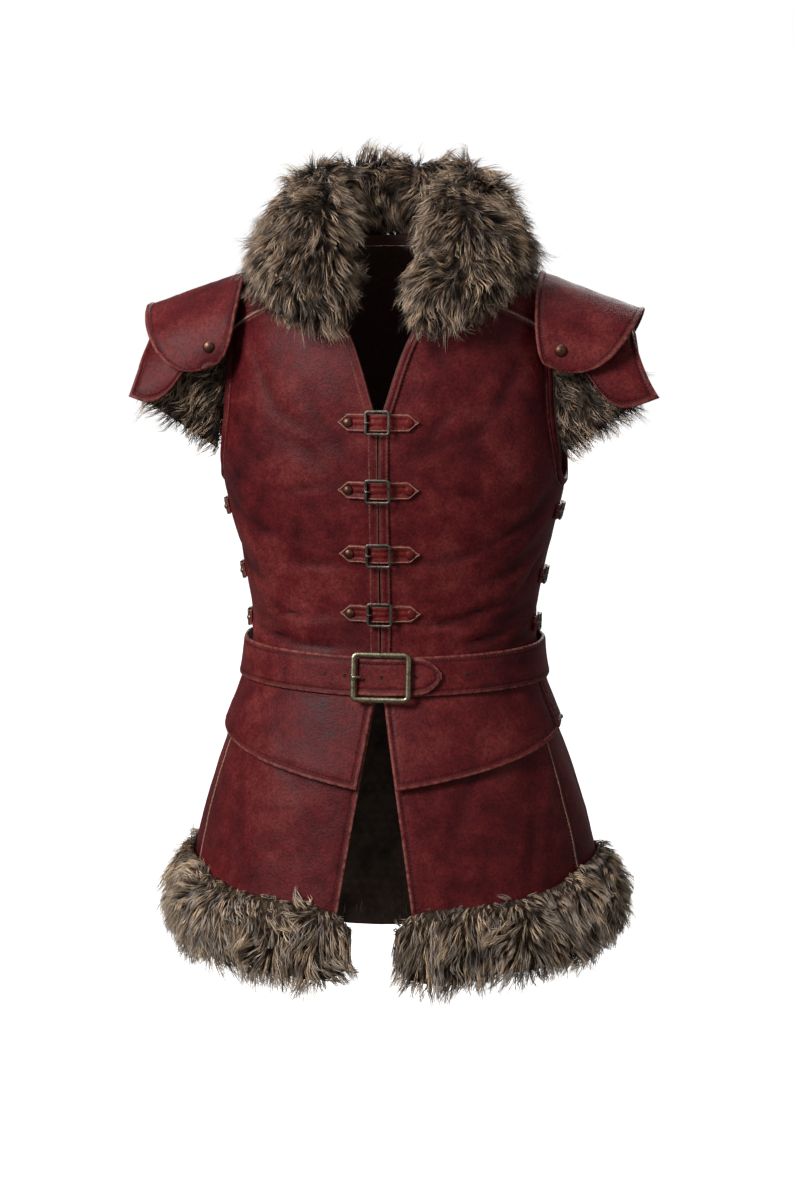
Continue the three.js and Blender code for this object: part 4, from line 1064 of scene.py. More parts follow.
def fur_tree():
    tree, given = tree_with("Locks of fur", [
        ("Pelt", "Geometry", None),
        ("Lock", "Object", None),
        ("Spacing", "Float", 0.005),
        ("Most per square metre", "Float", 60000.0),
        ("Hair length", "Float", 0.04),
        ("Wander", "Float", 0.045),
        ("Seed", "Int", 7),
        ("Hair", "Material", None),
        ("Underfur", "Material", None),
    ], "Fur")
    cover = add(tree, OWN_VALUE, {"Name": "cover"}, data_type="FLOAT")
    grow = add(tree, OWN_VALUE, {"Name": "grow"}, data_type="FLOAT_VECTOR")
    droop = add(tree, OWN_VALUE, {"Name": "droop"}, data_type="FLOAT_VECTOR")
    reach = add(tree, OWN_VALUE, {"Name": "reach"}, data_type="FLOAT")
    tip = add(tree, OWN_VALUE, {"Name": "tip"}, data_type="FLOAT")
    spread = add(tree, "GeometryNodeDistributePointsOnFaces", {
        "Mesh": given["Pelt"], "Distance Min": given["Spacing"],
        "Density Max": given["Most per square metre"], "Density Factor": cover, "Seed": given["Seed"],
    }, distribute_method="POISSON")
    up = add(tree, ALIGN, {"Vector": grow}, axis="Z")
    turn = add(tree, ALIGN, {"Rotation": up, "Vector": droop}, axis="X", pivot_axis="Z")
    twist = add(tree, RANDOM, {"Min": -0.7, "Max": 0.7, "Seed": 3}, data_type="FLOAT")
    spin = add(tree, "FunctionNodeAxisAngleToRotation", {"Axis": (0, 0, 1), "Angle": twist})
    turned = add(tree, "FunctionNodeRotateRotation", {"Rotation": turn, "Rotate By": spin},
                 rotation_space="LOCAL")
    uneven = add(tree, RANDOM, {"Min": 0.7, "Max": 1.15, "Seed": given["Seed"]}, data_type="FLOAT")
    share = add(tree, MATH, {0: uneven, 1: reach}, operation="MULTIPLY")
    length = add(tree, MATH, {0: share, 1: given["Hair length"]}, operation="MULTIPLY")
    girth = add(tree, RANDOM, {"Min": 0.75, "Max": 1.3, "Seed": 5}, data_type="FLOAT")
    lock = add(tree, "GeometryNodeObjectInfo", {"Object": given["Lock"]}).outputs["Geometry"]
    planted = add(tree, "GeometryNodeInstanceOnPoints", {
        "Points": spread, "Instance": lock, "Rotation": turned,
        "Scale": add(tree, "ShaderNodeCombineXYZ", {"X": girth, "Y": girth, "Z": length}),
    })
    shade = add(tree, RANDOM, {"Min": 0, "Max": 1, "Seed": 11}, data_type="FLOAT")
    tinted = add(tree, "GeometryNodeStoreNamedAttribute", {
        "Geometry": planted, "Name": "shade", "Value": shade,
    }, data_type="FLOAT", domain="INSTANCE")
    real = add(tree, "GeometryNodeRealizeInstances", {"Geometry": tinted})
    place = add(tree, "GeometryNodeInputPosition")
    breeze = add(tree, NOISE, {"Vector": place, "Scale": 42, "Detail": 2}).outputs["Color"]
    centred = add(tree, "ShaderNodeVectorMath", {0: breeze, 1: (0.5, 0.5, 0.5)}, operation="SUBTRACT")
    bending = add(tree, MATH, {0: tip, 1: 2}, operation="POWER")
    amount = add(tree, MATH, {0: bending, 1: given["Wander"]}, operation="MULTIPLY")
    sway = add(tree, "ShaderNodeVectorMath", {0: centred, "Scale": amount}, operation="SCALE")
    swept = add(tree, "GeometryNodeSetPosition", {"Geometry": real, "Offset": sway})
    hair = add(tree, "GeometryNodeSetMaterial", {"Geometry": swept, "Material": given["Hair"]})
    skin = {"Geometry": given["Pelt"], "Material": given["Underfur"]}
    skin = add(tree, "GeometryNodeSetMaterial", skin)
    both = add(tree, "GeometryNodeJoinGeometry", {"Geometry": hair})
    tree.links.new(skin.outputs[0], both.inputs[0])
    smooth = add(tree, "GeometryNodeSetShadeSmooth", {"Geometry": both})
    add(tree, "NodeGroupOutput", {0: smooth})
    return tree


TREES = {
    "Saddle stitching": stitching_tree, "Piping": piping_tree,
    "Rivet heads": heads_tree, "Locks of fur": fur_tree,
}


def grown(name, source, tree_name, inputs):
    """The plain mesh that a node group makes from a source mesh, as an object of its own."""
    tree = bpy.data.node_groups.get(tree_name) or TREES[tree_name]()
    holder = placed_object(name + "_source", source)
    modifier = holder.modifiers.new(tree_name, "NODES")
    modifier.node_group = tree
    for socket in tree.interface.items_tree:
        if socket.in_out == "INPUT" and socket.name in inputs:
            modifier[socket.identifier] = inputs[socket.name]
    graph = bpy.context.evaluated_depsgraph_get()
    mesh = bpy.data.meshes.new_from_object(holder.evaluated_get(graph))
    bpy.data.objects.remove(holder)
    mesh.name = name
    return placed_object(name, mesh)


def lines_mesh(name, lines):
    """Loose edges along several (points, normals) lines, with the normals kept as `out`."""
    points, normals, edges = [], [], []
    for places, outs in lines:
        first = len(points)
        points.extend(places)
        normals.extend(outs)
        edges.extend((first + at, first + at + 1) for at in range(len(places) - 1))
    return mesh_of(name, points, edges=edges, values={"out": normals})


def turned_head(profile, corners):
    """A helper mesh turned from a profile of (radius, height) points, standing on Z."""
    turn = full_turn(corners)
    rings = np.array([
        np.stack([radius * np.cos(turn), radius * np.sin(turn), 0 * turn + height], -1)
        for radius, height in profile
    ])
    head = lofted("die", rings, False)
    bpy.context.scene.collection.objects.unlink(head)
    return head


def heads(name, places, head, material):
    """Copies of a head at (point, normal) places, as one piece. The head itself is used up."""
    points, outs = zip(*places)
    mesh = mesh_of(name, points, values={"out": outs})
    piece = grown(name, mesh, "Rivet heads", {"Head": head, "Metal": finish(material)})
    bpy.data.objects.remove(head)
    return piece


# Leather pieces


def leather_relief(angle, height, points):
    """The hide's own unevenness: fine creases, soft buckling, and less of both under the trim."""
    highest = 1.3
    deepened = np.where(height > waist_seam(angle), 2.2, 1.1)
    relief = np.minimum(fold_relief(angle, height, CREASES) * deepened, highest)
    relief = relief + 0.42 * rolling(points, 36, 5) + 0.15 * rolling(points, 12, 6)
    from_edge = np.abs(points[..., 0])
    at_front = (height > -455) & (points[..., 1] < 0)
    calm = np.where(at_front, mix(0.25, 1, smooth_step((from_edge - 30) / 30)), 1)
    calm = calm * mix(0.2, 1, smooth_step((np.abs(height - waist_seam(angle)) - 20) / 16))
    return relief * calm


def body_shell(angle, height, lift, thickness, edges=(), lip=0.0, fine=1.0):
    deepest = 4.0
    base = body_point(angle, height, lift)
    relief = leather_relief(angle, height, base) * fine
    shell = Shell(base, form_normal(angle, height), thickness, relief, edges, lip)
    # hollow: how deep a point lies in a crease or fold, where the hide's material paints shade
    shell.hollow = np.clip(-(relief + fold_relief(angle, height, FOLDS)) / deepest, 0, 1)
    return shell


def seam_trim(up):
    return np.where(up <= 0, HALF_GAP, np.where(up >= 1, -HALF_GAP, 0))


def front_panel(sign, thickness):
    up, across = rows_of(62), columns_of(36)
    inner = read(PANEL_LEVELS, "front", up, key="row")
    outer = read(PANEL_LEVELS, "side", up, key="row")
    start = front_angle(inner, 0)
    end = QUARTER - armhole_spread(outer) - SEAM_ANGLE
    height = mix(inner, outer, across) + seam_trim(up)
    return body_shell(sign * mix(start, end, across), height, 0, thickness, ("top", "end"))


def back_panel(sign, thickness):
    up, across = rows_of(50), columns_of(32)
    inner = read(PANEL_LEVELS, "back", up, key="row")
    outer = read(PANEL_LEVELS, "side", up, key="row")
    end = QUARTER + armhole_spread(outer) + SEAM_ANGLE
    angle = sign * mix(math.pi - SEAM_ANGLE, end, across)
    height = mix(inner, outer, across) + seam_trim(up)
    return body_shell(angle, height, 0, thickness, ("top", "start", "end"))


def neck_edge(share):
    over = 0.3
    rising = mix(-15, NECK_HEIGHT, np.sqrt(np.clip(share / over, 0, 1)))
    behind = mix(QUARTER, math.pi - SEAM_ANGLE, np.clip((share - over) / (1 - over), 0, 1))
    angle = np.where(share < over, front_angle(rising, 0), behind)
    return angle, np.where(share < over, rising, NECK_HEIGHT)


def yoke_edge(share):
    reach = (YOKE_SEAM - ARMHOLE_HEIGHT) / ARMHOLE_HALF_HEIGHT
    seam_turn = math.acos(reach ** (ARMHOLE_SQUARE / 2))
    turn = mix(seam_turn, -seam_turn, np.clip(share / YOKE_CORNER, 0, 1))
    angle, height = armhole_edge(turn)
    corner = armhole_edge(np.array(-seam_turn))[0]
    along = np.clip((share - YOKE_CORNER) / (1 - YOKE_CORNER), 0, 1)
    behind = share > YOKE_CORNER
    angle = np.where(behind, mix(corner, math.pi - SEAM_ANGLE, along), angle)
    return angle, np.where(behind, YOKE_SEAM, height)


def yoke(sign, thickness):
    around, across = rows_of(61), columns_of(22)
    neck_angle, neck_height = neck_edge(around)
    edge_angle, edge_height = yoke_edge(around)
    trim = np.where(around == 0, HALF_GAP, 0)
    trim = trim + np.where(around > YOKE_CORNER, HALF_GAP * across, 0)
    height = mix(neck_height, edge_height, across) + trim
    angle = sign * mix(neck_angle, edge_angle, across)
    return body_shell(angle, height, 0, thickness, ("bottom",), fine=0.5)


def collar_stand():
    reach = math.radians(82)
    stand_height, thickness, lean_out = 12.5, 2, 3
    up, across = rows_of(6), columns_of(60)
    angle = math.pi + mix(-reach, reach, across)
    foot = form_point(angle, NECK_HEIGHT)
    outward = unit(foot * np.array([1, 1, 0]))
    base = foot + outward * (lean_out * (up - 0.2))[..., None]
    base = base + np.array([0, 0, 1]) * (0.3 + up * stand_height)[..., None]
    return Shell(base, outward, thickness, 0, ("top",), 0.4)


def front_band(sign):
    band_width, lowest, highest, inside, outside, crown = 11, -452, -17, 0.9, 2.8, 0.7
    across = np.array([0, 0.05, 0.14, 0.28, 0.42, 0.56, 0.66, 0.74, 0.82, 0.92, 1])[None, :]
    height = np.linspace(lowest, highest, 110)[:, None] + 0 * across
    angle = sign * front_angle(height, 0.3 + across * band_width)
    rounded = np.sqrt(np.maximum(1 - (2 * across - 1) ** 4, 0))
    groove = 0.9 * bump(across - 0.7, 0.05)
    lift = inside + 0.6 + (outside - inside - 0.6 + crown) * rounded - groove
    base = body_point(angle, height, lift)
    shell = Shell(base, form_normal(angle, height), 1, 0, ("start", "end"))
    shell.inner = body_point(angle, height, inside)
    return shell


def armhole_band(sign, name, material):
    half_across, half_thick, stand_off = 4.4, 3.2, 1.5
    turn, round_it = full_turn(96), full_turn(12)
    middle = body_point(*armhole_edge(turn), -1.25)
    ahead = body_point(*armhole_edge(turn + 0.03), -1.25)
    normal = form_normal(*armhole_edge(turn))
    inward = unit(np.cross(unit(ahead - middle), normal))
    centre = body_point(QUARTER, ARMHOLE_HEIGHT, 0)
    inward = inward * np.sign((inward * (centre - middle)).sum(-1, keepdims=True))
    middle = middle + inward * (half_across + stand_off)
    pinch = 1 - 0.16 * bump(wrapped(round_it - 1.9), 0.22)
    rings = (
        middle[:, None]
        + inward[:, None] * (np.cos(round_it) * half_across * pinch)[None, :, None]
        + normal[:, None] * (np.sin(round_it) * half_thick * pinch)[None, :, None]
    )
    return lofted(name, mirrored(rings, sign), True, (material,))


def cap_shell(cap, x, arc, thickness, edges, sign, seed):
    base = arch_point(cap, x, arc, np.zeros(np.broadcast(x, arc).shape))
    ridge = cap.ridge_height - (base[..., 0] - cap.ridge_start) * cap.slope - cap.radius
    away = np.stack([0 * ridge, base[..., 1], base[..., 2] - np.minimum(ridge, base[..., 2])], -1)
    relief = 0.7 * rolling(base, 46, seed) + 0.22 * rolling(base, 14, seed + 1)
    return Shell(mirrored(base, sign), mirrored(away, sign), thickness, relief, edges, 1.5)


def cap_upper(sign, thickness):
    crowding = math.radians(80)
    turns = np.linspace(-1, 1, 64)
    rows = (np.sin(turns * crowding) / math.sin(crowding))[:, None]
    columns = packed_shares(14, 100)[None, :]
    share = np.abs(rows) * 0.998
    outer = mix(CAP_MIDDLE[sign], UPPER_CAP.outer, (1 - share**2.1) ** (1 / 2.1))
    inner = mix(CAP_MIDDLE[sign], UPPER_CAP.inner, (1 - share**3.6) ** (1 / 3.6))
    x = mix(inner, outer, columns)
    return cap_shell(UPPER_CAP, x, rows * CAP_REACH + 0 * x, thickness, ALL_EDGES, sign, 20 + sign)


def cap_lower(sign, thickness):
    rows = (packed_shares(40, 240) * 2 - 1)[:, None]
    columns = packed_shares(14, 90, (False, True))[None, :]
    corners = CAP_CORNERS[sign]
    outer = LOWER_CAP.outer + np.where(rows > 0, corners.front, corners.back) * np.abs(rows) ** 1.5
    x = mix(LOWER_CAP.inner, outer, columns)
    arc = rows * read(LOWER_CAP_REACH, "reach", x, key="x")
    return cap_shell(LOWER_CAP, x, arc, thickness, ("end", "bottom", "top"), sign, 30 + sign)


def peplum_bottom(angle):
    turn = np.abs(wrapped(angle))
    front = waist_seam(angle) - mix(PEPLUM_FRONT, PEPLUM_SIDE, turn / QUARTER)
    back = waist_seam(angle) - mix(PEPLUM_SIDE, PEPLUM_BACK, np.sin(turn - QUARTER))
    return np.where(turn < QUARTER, front, back)


def peplum_shell(angle, up, thickness):
    height = mix(peplum_bottom(angle), waist_seam(angle) + UNDER_BELT, up)
    below = np.maximum(waist_seam(angle) - BELT_HEIGHT / 2 - height, 0)
    lift = 1.9 + below * 0.055 + thickness
    return body_shell(angle, height, lift, thickness, ("start", "end", "bottom"), 1.2, fine=0.55)


def peplum_front(sign, thickness):
    up = packed_shares(18, 130, (True, False))[:, None]
    along = packed_shares(30, 240)[None, :]
    start = front_angle(mix(WAIST - PEPLUM_FRONT, WAIST + UNDER_BELT, up), 1.2)
    return peplum_shell(sign * mix(start, math.radians(80), along), up, thickness)


def peplum_back(thickness):
    side = math.radians(82)
    up = packed_shares(14, 95, (True, False))[:, None]
    along = packed_shares(76, 640)[None, :]
    return peplum_shell(mix(side, 2 * math.pi - side, along) + 0 * up, up, thickness)


def skirt_front(sign, thickness):
    up = rows_of(40)
    along = packed_shares(30, 250, (True, False))[None, :]
    start = front_angle(mix(hem(0, "leather_edge"), WAIST - HALF_GAP, up), 0.4)
    angle = mix(start, SKIRT_SEAM - SEAM_ANGLE, along)
    height = mix(hem(angle, "leather_edge"), waist_seam(angle) - HALF_GAP, up)
    return body_shell(sign * angle, height, 0, thickness, ("start",), 0.5)


def skirt_back(thickness):
    start = SKIRT_SEAM + SEAM_ANGLE
    up = rows_of(36)
    along = packed_shares(104, 860)[None, :]
    angle = mix(start, 2 * math.pi - start, along) + 0 * up
    height = mix(hem(angle, "leather_edge"), waist_seam(angle) - HALF_GAP, up)
    return body_shell(angle, height, 0, thickness, ("start", "end"))


def skirt_lining(thickness):
    start = math.radians(78)
    inset, rumple = 5.7, 0.8
    up, along = rows_of(44), columns_of(120)
    angle = mix(start, 2 * math.pi - start, along) + 0 * up
    height = mix(hem(angle, "lining"), waist_seam(angle) - 12, up)
    lift = -inset - rumple * np.sin(along * 60) + 0 * up
    base = body_point(angle, height, lift)
    creased = 0.9 * rolling(base * np.array([1, 1, 0.35]), 26, 41) + 0.5 * rolling(base, 12, 42)
    seam = 1.6 * bump(wrapped(angle - math.pi), math.radians(0.5))
    shell = Shell(base, form_normal(angle, height), thickness, creased * 0.8 + seam - 0.8, ())
    # hollow: the lining's deeper creases, where its material paints shade
    shell.hollow = np.clip(creased / 1.6, 0, 1)
    return shell


def belt_loop():
    up = np.array([-1, -0.985, -0.94, -0.86, -0.8, -0.76, -0.7, -0.4, 0, 0.4, 0.7, 0.76, 0.8, 0.86,
                   0.94, 0.985, 1])[:, None]
    angle = full_turn(150)[None, :] + 0 * up
    height = waist_seam(angle) + up * BELT_HEIGHT / 2
    rounded = np.sqrt(np.maximum(1 - np.abs(up) ** 14, 0)) * 0.5 + 0.5
    groove = 0.6 * bump(np.abs(up) - 0.78, 0.025)
    lift = BELT_LIFT + BELT_THICKNESS * rounded - groove
    base = body_point(angle, height, lift)
    base = base + form_normal(angle, height) * (0.35 * rolling(base, 40, 51))[..., None]
    shell = Shell(base, form_normal(angle, height), 1, 0, ("bottom", "top"), closed=True)
    shell.inner = body_point(angle, height, BELT_LIFT + 0 * angle)
    return shell


def belt_end():
    point_length, narrower = 26, 0.94
    along = packed_shares(30, 91, (False, True))[None, :]
    up = packed_shares(10, 43)[:, None]
    x = mix(BELT_TUCK, BELT_TIP, along)
    ending = np.clip((BELT_TIP - x) / point_length, 0.05, 1)
    half = BELT_HEIGHT / 2 * narrower * (1 - (1 - ending) ** 1.9) ** 0.7
    angle = angle_across(x, WAIST) + 0 * up
    height = waist_seam(angle) + (up * 2 - 1) * half
    base = body_point(angle, height, BELT_LIFT + 2 * BELT_THICKNESS + 1)
    away, edges = form_normal(angle, height), ("bottom", "top", "end")
    return Shell(base, away, BELT_THICKNESS, -0.3, edges, 0.5)


def strap_lift(x):
    return mix(1.4, 4.2, smooth_step((24 - np.abs(x)) / 10))


def strap_half_height(x):
    return 10 * np.clip((STRAP_TIP - np.abs(x)) / 11, 0.12, 1)


def front_strap(height, start, end, thickness):
    along = packed_shares(22, abs(end - start), (True, False))[None, :]
    up = packed_shares(8, 20)[:, None]
    x = mix(start, end, along)
    in_buckle = np.clip((11 - np.abs(x)) / 5, 0, 1)
    arched = in_buckle * (1 + up * (1 - up) * 6)
    z = height + (up * 2 - 1) * strap_half_height(x)
    angle = angle_across(x, z)
    base = body_point(angle, z, strap_lift(x) + arched + thickness)
    return Shell(base, form_normal(angle, z), thickness, -0.3, ("start", "bottom", "top"), 0.45)


def side_strap(sign, height, thickness):
    reach, wide, lift = math.radians(9), 17, 1.5
    across = packed_shares(14, 60)[None, :]
    up = packed_shares(6, wide)[:, None]
    angle = sign * (QUARTER + mix(-reach, reach, across)) + 0 * up
    z = height + (up - 0.5) * wide + 0 * across
    base = body_point(angle, z, lift + thickness)
    return Shell(base, form_normal(angle, z), thickness, -0.3, ALL_EDGES, 0.45)


# Metal pieces


def placed(angle, height, lift):
    """Where a flat piece sits on the body: its middle, and its across, up and out directions."""
    out = form_normal(angle, height)
    up = unit(np.array([0, 0, 1.0]) - out * out[2])
    return body_point(angle, height, lift), np.cross(up, out), up, out


def rounded_path(half_width, half_height, radius, corner):
    """Points and outward directions round a rectangle with rounded corners."""
    points, outs = [], []
    for turn, x, y in ((0, 1, 1), (1, -1, 1), (2, -1, -1), (3, 1, -1)):
        for step in range(corner + 1):
            angle = (turn + step / corner) * QUARTER
            out = np.array([math.cos(angle), math.sin(angle)])
            centre = np.array([x * (half_width - radius), y * (half_height - radius)])
            points.append(centre + out * radius)
            outs.append(out)
    return np.array(points), np.array(outs)


def buckle(name, place, size, gauge, depth, material):
    """A cast frame swept round its path, with the short part of the tongue that shows on one bar."""
    width, height = size
    tongue_length, tongue_half, sleeve_half = gauge * 2.1, gauge * 0.34, gauge * 0.62

    def swept(part, x, y, z, closed=False):
        middle, across, up, out = place
        x, y, z = (grid[..., None] for grid in np.broadcast_arrays(x, y, z))
        return lofted(name + part, middle + x * across + y * up + z * out, closed, (material,))

    path, outs = rounded_path((width - gauge) / 2, (height - gauge) / 2, gauge * 0.75, 5)
    turn = full_turn(12)
    side = signed_power(np.cos(turn), 0.8) * gauge / 2
    thick = signed_power(np.sin(turn), 0.8) * depth / 2
    wobble = 1 + 0.03 * np.sin(np.arange(len(path)) * 1.7)
    flat = path[:, None] + outs[:, None] * (side[None, :] * wobble[:, None])[..., None]
    cast = swept("", flat[..., 0], flat[..., 1], depth / 2 + thick[None, :], closed=True)
    run = rows_of(12)
    taper = mix(1.0, 0.72, run) * tongue_half
    taper[[0, -1]] *= 0.55
    rise = depth * 0.5 + depth * 0.62 * np.sin(run * math.pi) ** 0.5
    turn = full_turn(8)
    tongue = swept("_tongue", run * tongue_length - width / 2, np.cos(turn) * taper,
                   rise + np.sin(turn) * taper)
    turn = full_turn(10)
    sleeve = swept("_sleeve", np.cos(turn) * sleeve_half - (width - gauge) / 2,
                   (rows_of(5) * 2 - 1) * sleeve_half, depth / 2 + np.sin(turn) * depth * 0.68)
    return joined(name, [cast, tongue, sleeve])


def rivet_head(radius):
    profile = [(radius * 0.98, 0), (radius, 0.5), (radius * 0.97, 1.1), (radius * 0.86, 2.0),
               (radius * 0.66, 2.9), (radius * 0.4, 3.5), (radius * 0.12, 3.8)]
    return turned_head(profile, 14)


def head_place(x, height, thickness):
    angle = angle_across(x, height)
    sunk = 0.4
    out = form_normal(angle, height)
    return body_point(angle, height, strap_lift(x) + thickness - sunk), out


# Fur


def hair_lock(width):
    """A helper: nine tapering strands one unit long that lean together into a point along X."""
    chance = np.random.default_rng(17)
    points, faces, tips = [], [], []
    levels = np.array([0, 0.42, 0.78, 1])
    for strand in range(9):
        turn = chance.uniform(0, 2 * math.pi)
        start = np.array([math.cos(turn), math.sin(turn)]) * chance.uniform(0.2, 1) * 0.0038
        end = chance.normal(size=2) * 0.0016
        length = chance.uniform(0.68, 1.0)
        bend = 0.011 * chance.uniform(0.6, 1.4)
        facing_turn = chance.uniform(0, 2 * math.pi)
        flat = np.array([math.cos(facing_turn), math.sin(facing_turn), 0])
        first = len(points)
        for level in levels:
            centre = np.append(mix(start, end, level**0.8), level * length)
            centre[0] += bend * level**2
            half = width / 2 * (1 - level**1.6)
            if level < 1:
                points.extend([centre - flat * half, centre + flat * half])
                tips.extend([level, level])
            else:
                points.append(centre)
                tips.append(1.0)
        faces.append((first, first + 1, first + 3, first + 2))
        faces.append((first + 2, first + 3, first + 5, first + 4))
        faces.append((first + 4, first + 5, first + 6))
    mesh = mesh_of("lock", np.array(points) / MM, faces, values={"tip": tips})
    return bpy.data.objects.new("lock", mesh)


def furred(node, pelt, spacing, seed, clear, length=1.0, hair="long_fur"):
    """Grows locks on a pelt, which carries grow, droop, cover and reach, in place of its solid."""
    fur = bpy.context.scene.vest_fur
    lock = hair_lock(fur.hair_width)
    source = pelt.data.copy()
    bpy.data.objects.remove(pelt)
    piece = grown(f"{node}_pelt", source, "Locks of fur", {
        "Lock": lock, "Spacing": spacing * MM, "Most per square metre": 6 / (spacing * MM) ** 2,
        "Hair length": fur.hair_length * length, "Seed": fur.seed + seed,
        "Hair": finish(hair), "Underfur": finish("pelt_skin"),
    })
    bpy.data.objects.remove(lock)
    mesh = piece.data
    points = np.empty(len(mesh.vertices) * 3)
    mesh.vertices.foreach_get("co", points)
    points = clear(points.reshape(-1, 3) / MM) * MM
    mesh.vertices.foreach_set("co", points.ravel())
    for label in ("grow", "droop", "cover", "reach"):
        if label in mesh.attributes:
            mesh.attributes.remove(mesh.attributes[label])
    return finish_piece(piece, "fur", node)


def pelt_values(points, normals, comb, lean, cover, reach):
    """Which way hair grows and bends at each point of a pelt."""
    flat = comb - normals * (comb * normals).sum(-1, keepdims=True)
    grow = unit(normals + unit(flat) * lean[..., None])
    return {
        "grow": grow.reshape(-1, 3), "droop": (flat + comb * 0.3).reshape(-1, 3),
        "cover": np.clip(cover, 0, 1).ravel(), "reach": reach.ravel(),
    }


def plain_angle(direction, height):
    """The outline's own angle for a direction seen from above."""
    half_width = read(BODY_LEVELS, "half_width", height)
    front = read(BODY_LEVELS, "front", height)
    back = read(BODY_LEVELS, "back", height)
    depth = np.where(np.cos(direction) > 0, front, back)
    power = read(BODY_LEVELS, "square", height) / 2
    across = signed_power(np.sin(direction) / half_width, power)
    ahead = signed_power(np.cos(direction) / depth, power)
    return np.arctan2(across, ahead)


def outline_reach(direction, height):
    edge = form_point(plain_angle(direction, height), height)
    return np.hypot(edge[..., 0], edge[..., 1])


def off_shoulders(points, clear=2.2):
    """Lifts points that lie in the leather up to its surface, and out of the collar stand."""
    direction = np.arctan2(points[..., 0], -points[..., 1])
    reach = np.hypot(points[..., 0], points[..., 1]) - clear
    low, high = points[..., 2].copy(), np.full(points.shape[:-1], float(NECK_HEIGHT))
    buried = (points[..., 2] < NECK_HEIGHT) & (outline_reach(direction, points[..., 2]) > reach)
    for _ in range(14):
        middle = (low + high) / 2
        inside = outline_reach(direction, middle) > reach
        low, high = np.where(inside, middle, low), np.where(inside, high, middle)
    neck = outline_reach(direction, np.full(low.shape, float(NECK_HEIGHT)))
    lifted = points.copy()
    lifted[..., 2] = np.where(buried, high + clear * 0.7, points[..., 2])
    over_stand = (reach < neck + 6) & (reach > neck - 26) & (points[..., 2] < 37)
    lifted[..., 2] = np.where(over_stand & (points[..., 2] > -10), 37.0, lifted[..., 2])
    return lifted


def off_skirt(points, side=0):
    """Pushes points out of the skirt, up from below the hem, and out of the front opening."""
    clear, half_opening = 1.6, 31
    direction = np.arctan2(points[..., 0], -points[..., 1])
    needed = outline_reach(direction, points[..., 2]) + clear
    reach = np.hypot(points[..., 0], points[..., 1])
    angle = plain_angle(direction, points[..., 2])
    above = points[..., 2] > hem(angle, "leather_edge")
    scale = np.where(above, np.maximum(needed / reach, 1), 1)
    pushed = points.copy()
    pushed[..., :2] = points[..., :2] * scale[..., None]
    lowest = hem(angle, "fur_bottom") - (CORNER_DROP + 4 if side else 1)
    below = np.maximum(lowest - points[..., 2], 0)
    pushed[..., 2] += below * (0.4 if side else 0.75)
    past = np.maximum(half_opening - pushed[..., 0] * side, 0) if side else 0
    pushed[..., 0] += past * side * 0.45
    return pushed


def under_cap(points):
    """Keeps points below the lower shoulder cap."""
    clear = 7
    x = np.abs(points[..., 0])
    ridge = LOWER_CAP.ridge_height - (x - LOWER_CAP.ridge_start) * LOWER_CAP.slope
    rise = np.maximum(points[..., 2] - (ridge - LOWER_CAP.radius), 0)
    radius = np.hypot(points[..., 1], rise)
    scale = np.minimum((LOWER_CAP.radius - clear) / np.maximum(radius, 1), 1)
    scale = np.where(x < LOWER_CAP.outer + CAP_FLARE, scale, 1)
    kept = points.copy()
    kept[..., 1] = points[..., 1] * scale
    kept[..., 2] = np.where(rise > 0, ridge - LOWER_CAP.radius + rise * scale, points[..., 2])
    return kept


def collar_rings(sign, shares, corners, shrink):
    """Rings of the collar's pelt, drawn in from the roll by the hair's stand."""
    share = shares[:, None]
    column = {
        name: read(COLLAR_STATIONS, name, share, key="share") for name in CollarStation._fields
    }
    facing_turn, pitch = np.radians(column["facing"]), np.radians(column["pitch"])
    zero = np.zeros_like(share)
    outward = np.stack([np.sin(facing_turn), -np.cos(facing_turn), zero], -1)
    rising = np.stack([zero, -np.sin(pitch), np.cos(pitch)], -1)
    middle = np.stack([column["x"], column["y"], column["z"]], -1)
    turn = full_turn(corners)[None, :]
    up = signed_power(np.sin(turn), 0.86)
    across = signed_power(np.cos(turn), 0.86)
    half_across = np.maximum(column["across"] - shrink, 6)
    half_rise = np.maximum(column["rise"] - shrink, 6)
    out = across * half_across - up * column["lean"] * np.where(across > 0, 1, 0.3)
    points = middle + outward * out[..., None] + rising * (up * half_rise)[..., None]
    points[..., 0] = np.maximum(points[..., 0], 0.2)
    return mirrored(off_shoulders(points, 3.0), sign), mirrored(middle, sign)


def collar_pelt(sign):
    shares = np.linspace(0.015, 1, 46)
    points, middle = collar_rings(sign, shares, 32, 17)
    normals = grid_normals(points, points - middle, closed=True)
    ending = np.clip(1 - shares / 0.2, 0, 1)[:, None, None]
    comb = np.array([0.0, 0.0, -1.0]) + unit(points - middle) * 0.5
    comb = comb + np.array([-0.25 * sign, -0.6, -0.6]) * ending
    comb = comb + 0.5 * np.stack([rolling(points, 60, seed) for seed in (61, 62, 63)], -1)
    underneath = smooth_step((-normals[..., 2] - 0.45) / 0.4)
    underneath = underneath * smooth_step((40 - points[..., 2]) / 30)
    inner_low = (points[..., 2] < 48) & ((normals * (points * [1, 1, 0])).sum(-1) < 0)
    cover = 1 - 0.92 * underneath * (1 - ending[..., 0])
    cover = np.where(inner_low & (points[..., 1] > -60), 0.5 * cover, cover)
    lean = 1.15 + 0.55 * rolling(points, 38, 64)
    reach = 0.95 + 0.14 * rolling(points, 34, 65)
    values = pelt_values(points, normals, comb, lean, cover, reach)
    return lofted("pelt", points, False, values=values)


FurPoint = namedtuple("FurPoint", "up out")
FUR_SECTION = (
    FurPoint(1, 0.12), FurPoint(0.93, 0.5), FurPoint(0.74, 0.84), FurPoint(0.5, 1),
    FurPoint(0.24, 0.98), FurPoint(0.08, 0.72), FurPoint(0, 0.3), FurPoint(0.03, 0),
    FurPoint(0.35, 0), FurPoint(0.7, 0), FurPoint(0.96, 0), FurPoint(1, 0.12),
)


